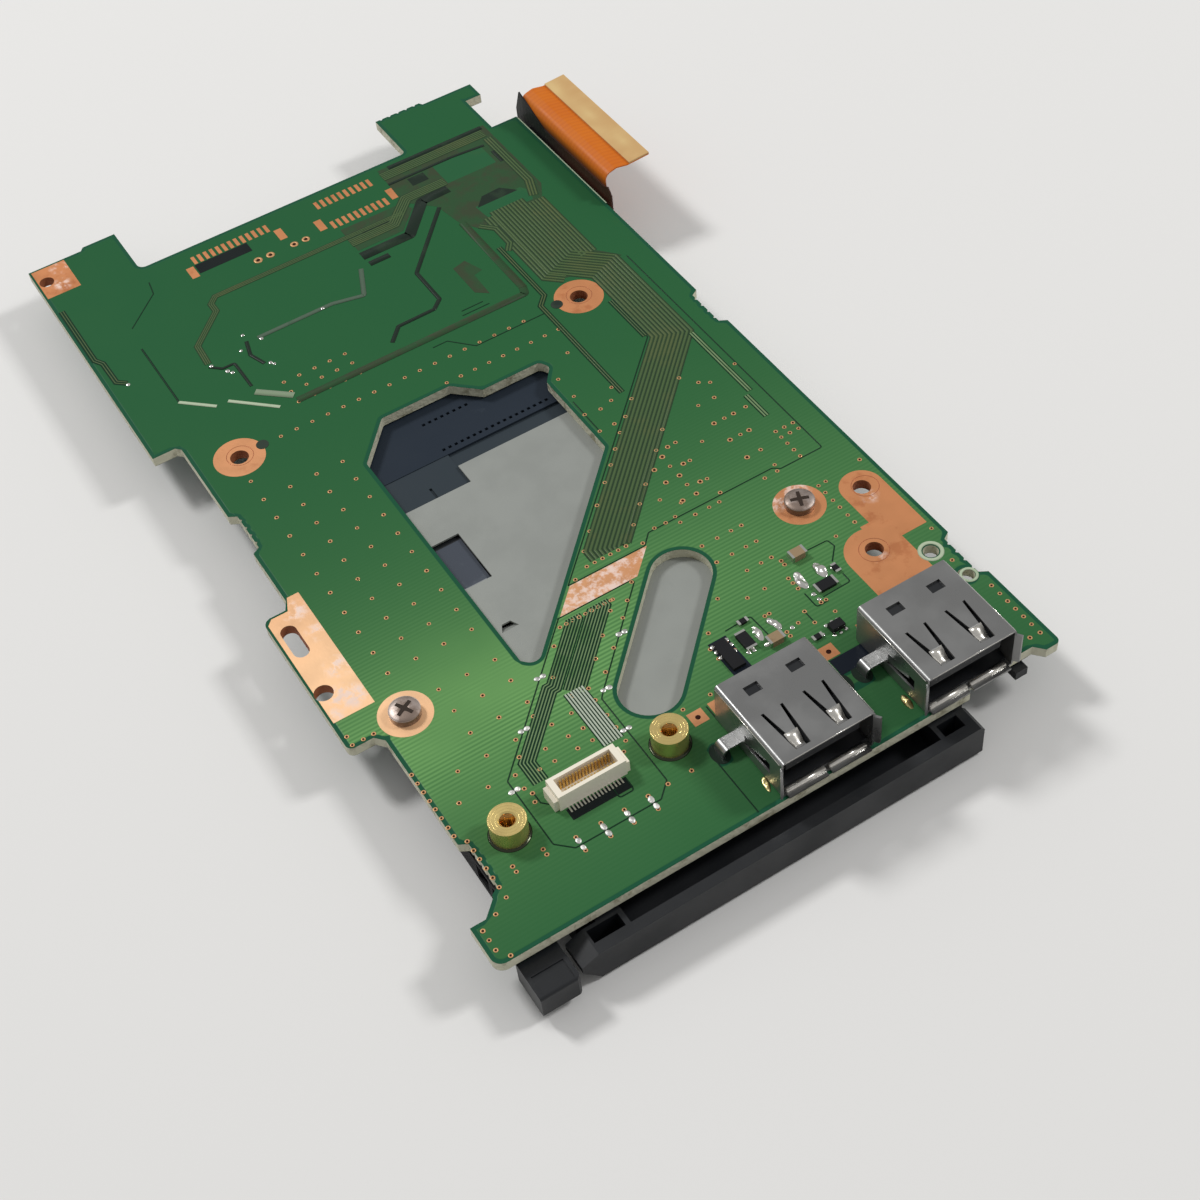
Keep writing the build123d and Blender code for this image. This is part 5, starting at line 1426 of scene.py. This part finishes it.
@dataclass
class SocketDress:
    """Bare rings at the legs, lip rods and edges, and sprung tips of both sockets; rods, edges and tips are real
    shapes coloured pale as painted highlights.
    """

    shop: Workshop
    centres: tuple[float, ...] = (48.0, 70.0)
    leg_reach: float = 9.5
    leg_row: float = 10.3
    front: float = 0.45
    lips: tuple[Point, ...] = ((-6.1, -0.3), (0.35, 5.9))
    tip_reach: float = 3.13
    tip_levels: Point = (0.02, 0.09)
    tip_section: tuple[Place, ...] = (
        (4.05, 6.9, 0.98), (3.4, 6.62, 0.92), (2.9, 6.34, 0.86), (2.45, 6.12, 0.8), (1.8, 6.12, 0.76),
    )

    def build(self) -> None:
        """Add the details of each socket."""
        for centre, side in zip(self.centres, ("left", "right")):
            for way, hand in ((-1, "a"), (1, "b")):
                ring = oval(centre + way * self.leg_reach, self.leg_row, 1.25, 1.7, 24)
                self.shop.plate(f"usb_{side}_bare_{hand}", ring, *FLAT, "dark_mask")
            self._rods(centre, side)
            for index, way in enumerate((-1, 1)):
                self._tip(f"usb_{side}_tip_{index}", centre + way * self.tip_reach)

    def _rods(self, centre: float, side: str) -> None:
        """The rolled edge of the bottom lip in two lengths, the roof's side edges and the brow over the mouth."""
        lip, mouth = self.front + 0.36, self.front + 0.02
        # Each rod, edge and brow is coloured pale as a painted highlight.
        for index, (low, high) in enumerate(self.lips):
            self._bar(f"usb_{side}_rod_{index}", (centre + low, lip, 0.42), (centre + high, lip, 0.42), 0.4)
        for index, way in enumerate((-1, 1)):
            x = centre + way * 6.98
            self._bar(f"usb_{side}_edge_{index}", (x, self.front + 0.4, 6.55), (x, self.front + 14.3, 6.55), 0.07)
        self._bar(f"usb_{side}_brow", (centre - 6.3, mouth, 6.92), (centre + 6.3, mouth, 6.92), 0.06)

    def _tip(self, name: str, x: float) -> None:
        """Bent tip of one of the roof's sprung fingers, coloured pale as a painted highlight: a strip with two levels
        and two sides.
        """
        points = [self.shop.plan.at(x + hand * wide, y, z + lift)
                  for lift in self.tip_levels for hand in (-1, 1) for y, z, wide in self.tip_section]
        count = len(self.tip_section)
        faces = []
        for step in range(count - 1):
            a, b, c, d = step, step + 1, count + step, count + step + 1
            faces += [(a, b, d, c), (2 * count + a, 2 * count + c, 2 * count + d, 2 * count + b)]
            faces += [(a, 2 * count + a, 2 * count + b, b), (c, d, 2 * count + d, 2 * count + c)]
        last = count - 1
        faces += [(0, count, 3 * count, 2 * count), (last, 2 * count + last, 3 * count + last, count + last)]
        self.shop.add(name, points, faces, "bright_steel", Slot.SOCKET_STEEL, smooth=True)

    def _bar(self, name: str, start: Place, end: Place, radius: float, parts: int = 10) -> None:
        """Add a round bar between two places, coloured pale as a painted highlight."""
        first, last = self.shop.plan.at(*start), self.shop.plan.at(*end)
        ahead = (last - first).normalized()
        side = ahead.cross(Vector((0, 0, 1))).normalized()
        rise = side.cross(ahead)
        points = [spot + (side * across + rise * along) * radius * MM
                  for spot in (first, last) for across, along in circle(parts)]
        faces = [(i, (i + 1) % parts, parts + (i + 1) % parts, parts + i) for i in range(parts)]
        faces += [tuple(range(parts))[::-1], tuple(range(parts, 2 * parts))]
        self.shop.add(name, points, faces, "bright_steel", Slot.SOCKET_STEEL, smooth=True)


@dataclass
class ConnectorDress:
    """Gold contacts inside the small connector and the dark strip under its pins."""

    shop: Workshop
    centre: float = 22.65
    count: int = 16
    pitch: float = 0.47
    inset: float = 0.86
    contact: Point = (0.12, 0.1)
    levels: Point = (0.7, 2.55)

    def build(self) -> None:
        """Add the strip and both rows of contacts."""
        plan = self.shop.plan
        left = self.centre - 4.4
        self.shop.plate("pin_gap", block(left, left + 8.7, 12.35, 14.2), *FLAT, "black_mask")
        low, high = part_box("board_connector_housing")
        front, back = (low.y - plan.front) / MM, (high.y - plan.front) / MM
        start = self.centre - self.pitch * (self.count - 1) / 2
        wide, deep = self.contact
        for row, y in (("front", front + self.inset), ("back", back - self.inset)):
            points: list[Vector] = []
            faces: list[tuple[int, ...]] = []
            for index in range(self.count):
                x, base = start + index * self.pitch, len(points)
                points += [plan.at(x + a * wide, y + b * deep, z)
                           for a in (-1, 1) for b in (-1, 1) for z in self.levels]
                faces += [tuple(base + k for k in ring) for ring in (
                    (0, 1, 3, 2), (4, 6, 7, 5), (0, 4, 5, 1), (2, 3, 7, 6), (0, 2, 6, 4), (1, 5, 7, 3))]
            self.shop.add(f"connector_row_{row}", points, faces, "plated_contact", Slot.GOLD_CONTACT)


@dataclass
class BoardMarks:
    """Rings, spots and bare laminate round the board's holes."""

    shop: Workshop
    bare_rings: tuple[tuple[float, ...], ...] = ((80.4, 21.6, 1.26, 1.8), (81.9, 15.4, 0.9, 1.3))
    dark_spots: tuple[Place, ...] = ((14.6, 94.7, 0.95), (65.3, 94.8, 0.95))
    stamped: tuple[Place, ...] = ((74.4, 26.2, 2.1), (80.5, 36.4, 1.95), (10.9, 94.6, 2.0), (69.2, 94.6, 2.0))
    stamp_half: float = 0.07
    hole_radius: float = 0.36
    square_holes: tuple[Point, ...] = ((39.4, 16.6), (42.6, 16.6), (59.1, 15.6), (65.6, 16.1))

    def build(self) -> None:
        """Add every mark."""
        for index, (x, y, inner, outer) in enumerate(self.bare_rings):
            section = block(inner, outer, 0.03, 0.055)
            self.shop.lathe(f"bare_ring_{index}", self.shop.plan.at(x, y), section, 40, "bare_laminate", Slot.BOARD)
        for index, (x, y, radius) in enumerate(self.dark_spots):
            self.shop.plate(f"dark_spot_{index}", oval(x, y, radius, radius, 24), 0.06, 0.02, "spot_mask")
        for index, (x, y, radius) in enumerate(self.stamped):
            section = [(radius - self.stamp_half, 0.04), (radius + self.stamp_half, 0.04), (radius, 0.075)]
            self.shop.lathe(f"stamped_ring_{index}", self.shop.plan.at(x, y), section, 48, "stamp_copper", Slot.COPPER)
        for index, (x, y) in enumerate(self.square_holes):
            # Each hole is a dark disc, painted shade of the drilled hole.
            outline = oval(x, y, self.hole_radius, self.hole_radius, 20)
            self.shop.plate(f"square_hole_{index}", outline, 0.052, 0.008, "hole_dark", Slot.COPPER)


@dataclass
class ScrewDress:
    """Rounded, worn heads of the two cage screws, each with a dark cross plate that is painted shade of its cross
    recess.
    """

    shop: Workshop
    row: float = 38.85
    radius: float = 2.15
    cross_turns: tuple[float, ...] = (0.5, 1.2)
    cross_lift: float = 1.22
    cross_thick: float = 0.115
    cross: tuple[Point, ...] = ((1.35, -0.17), (1.35, 0.17), (0.42, math.pi / 4))
    dome: tuple[Point, ...] = ((0.02, 0.9), (2.12, 0.86), (2.16, 0.98), (1.98, 1.12), (1.5, 1.24), (0.8, 1.31),
                               (0.02, 1.33))

    def build(self) -> None:
        """Add the dome of each screw and on it a dark cross plate, painted shade of the cross recess."""
        low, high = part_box("cage_screws")
        left = self.shop.plan.left
        middles = (low.x - left) / MM + self.radius, (high.x - left) / MM - self.radius
        for index, (x, turn) in enumerate(zip(middles, self.cross_turns)):
            foot = self.shop.plan.at(x, self.row)
            self.shop.lathe(f"screw_dome_{index}", foot, self.dome, 40, "screw_steel", Slot.SCREW_STEEL)
            ring = []
            for step in range(4):
                angle = turn + step * math.pi / 2
                ring += [(x + reach * math.cos(angle + swing), self.row + reach * math.sin(angle + swing))
                         for reach, swing in self.cross]
            self.shop.plate(f"screw_cross_{index}", ring, self.cross_lift, self.cross_thick, "recess_shadow",
                            Slot.SCREW_STEEL)


@dataclass
class WindowLiner:
    """Dark liner under the window of the cage cover, with a paler step on it."""

    shop: Workshop
    thick: float = 0.04
    plates: tuple[tuple[str, str, float, tuple[Point, ...]], ...] = (
        ("window_liner", "liner_slate", -2.17, block(25.2, 30.1, 53.1, 63.0)),
        ("window_step", "liner_pale", -2.12, block(25.9, 29.5, 53.2, 54.5)),
    )

    def build(self) -> None:
        """Add the liner and its step."""
        for name, finish, lift, outline in self.plates:
            self.shop.plate(name, outline, lift, self.thick, finish, Slot.CAGE_STEEL)


def main() -> None:
    """Build every piece around the frame."""
    logging.basicConfig(level=logging.INFO, format="%(message)s")
    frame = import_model()
    plan = Plan()
    finishes = Finishes(plan)
    for finish, nodes in CAD_FINISHES.items():
        for node in nodes.split():
            slots = frame["nodes"][node].data.materials
            slots.clear()
            slots.append(finishes[finish])
    shop = Workshop(plan, finishes)
    trees = Trees()
    Studio(plan).build()
    makers = (
        MaskSkin(shop), ViaField(shop, trees), Tracks(shop, trees), SolderWork(shop, trees), SpacerDress(shop),
        SocketDress(shop), ConnectorDress(shop), BoardMarks(shop), ScrewDress(shop), WindowLiner(shop),
    )
    for maker in makers:
        maker.build()


if __name__ == "__main__":
    main()
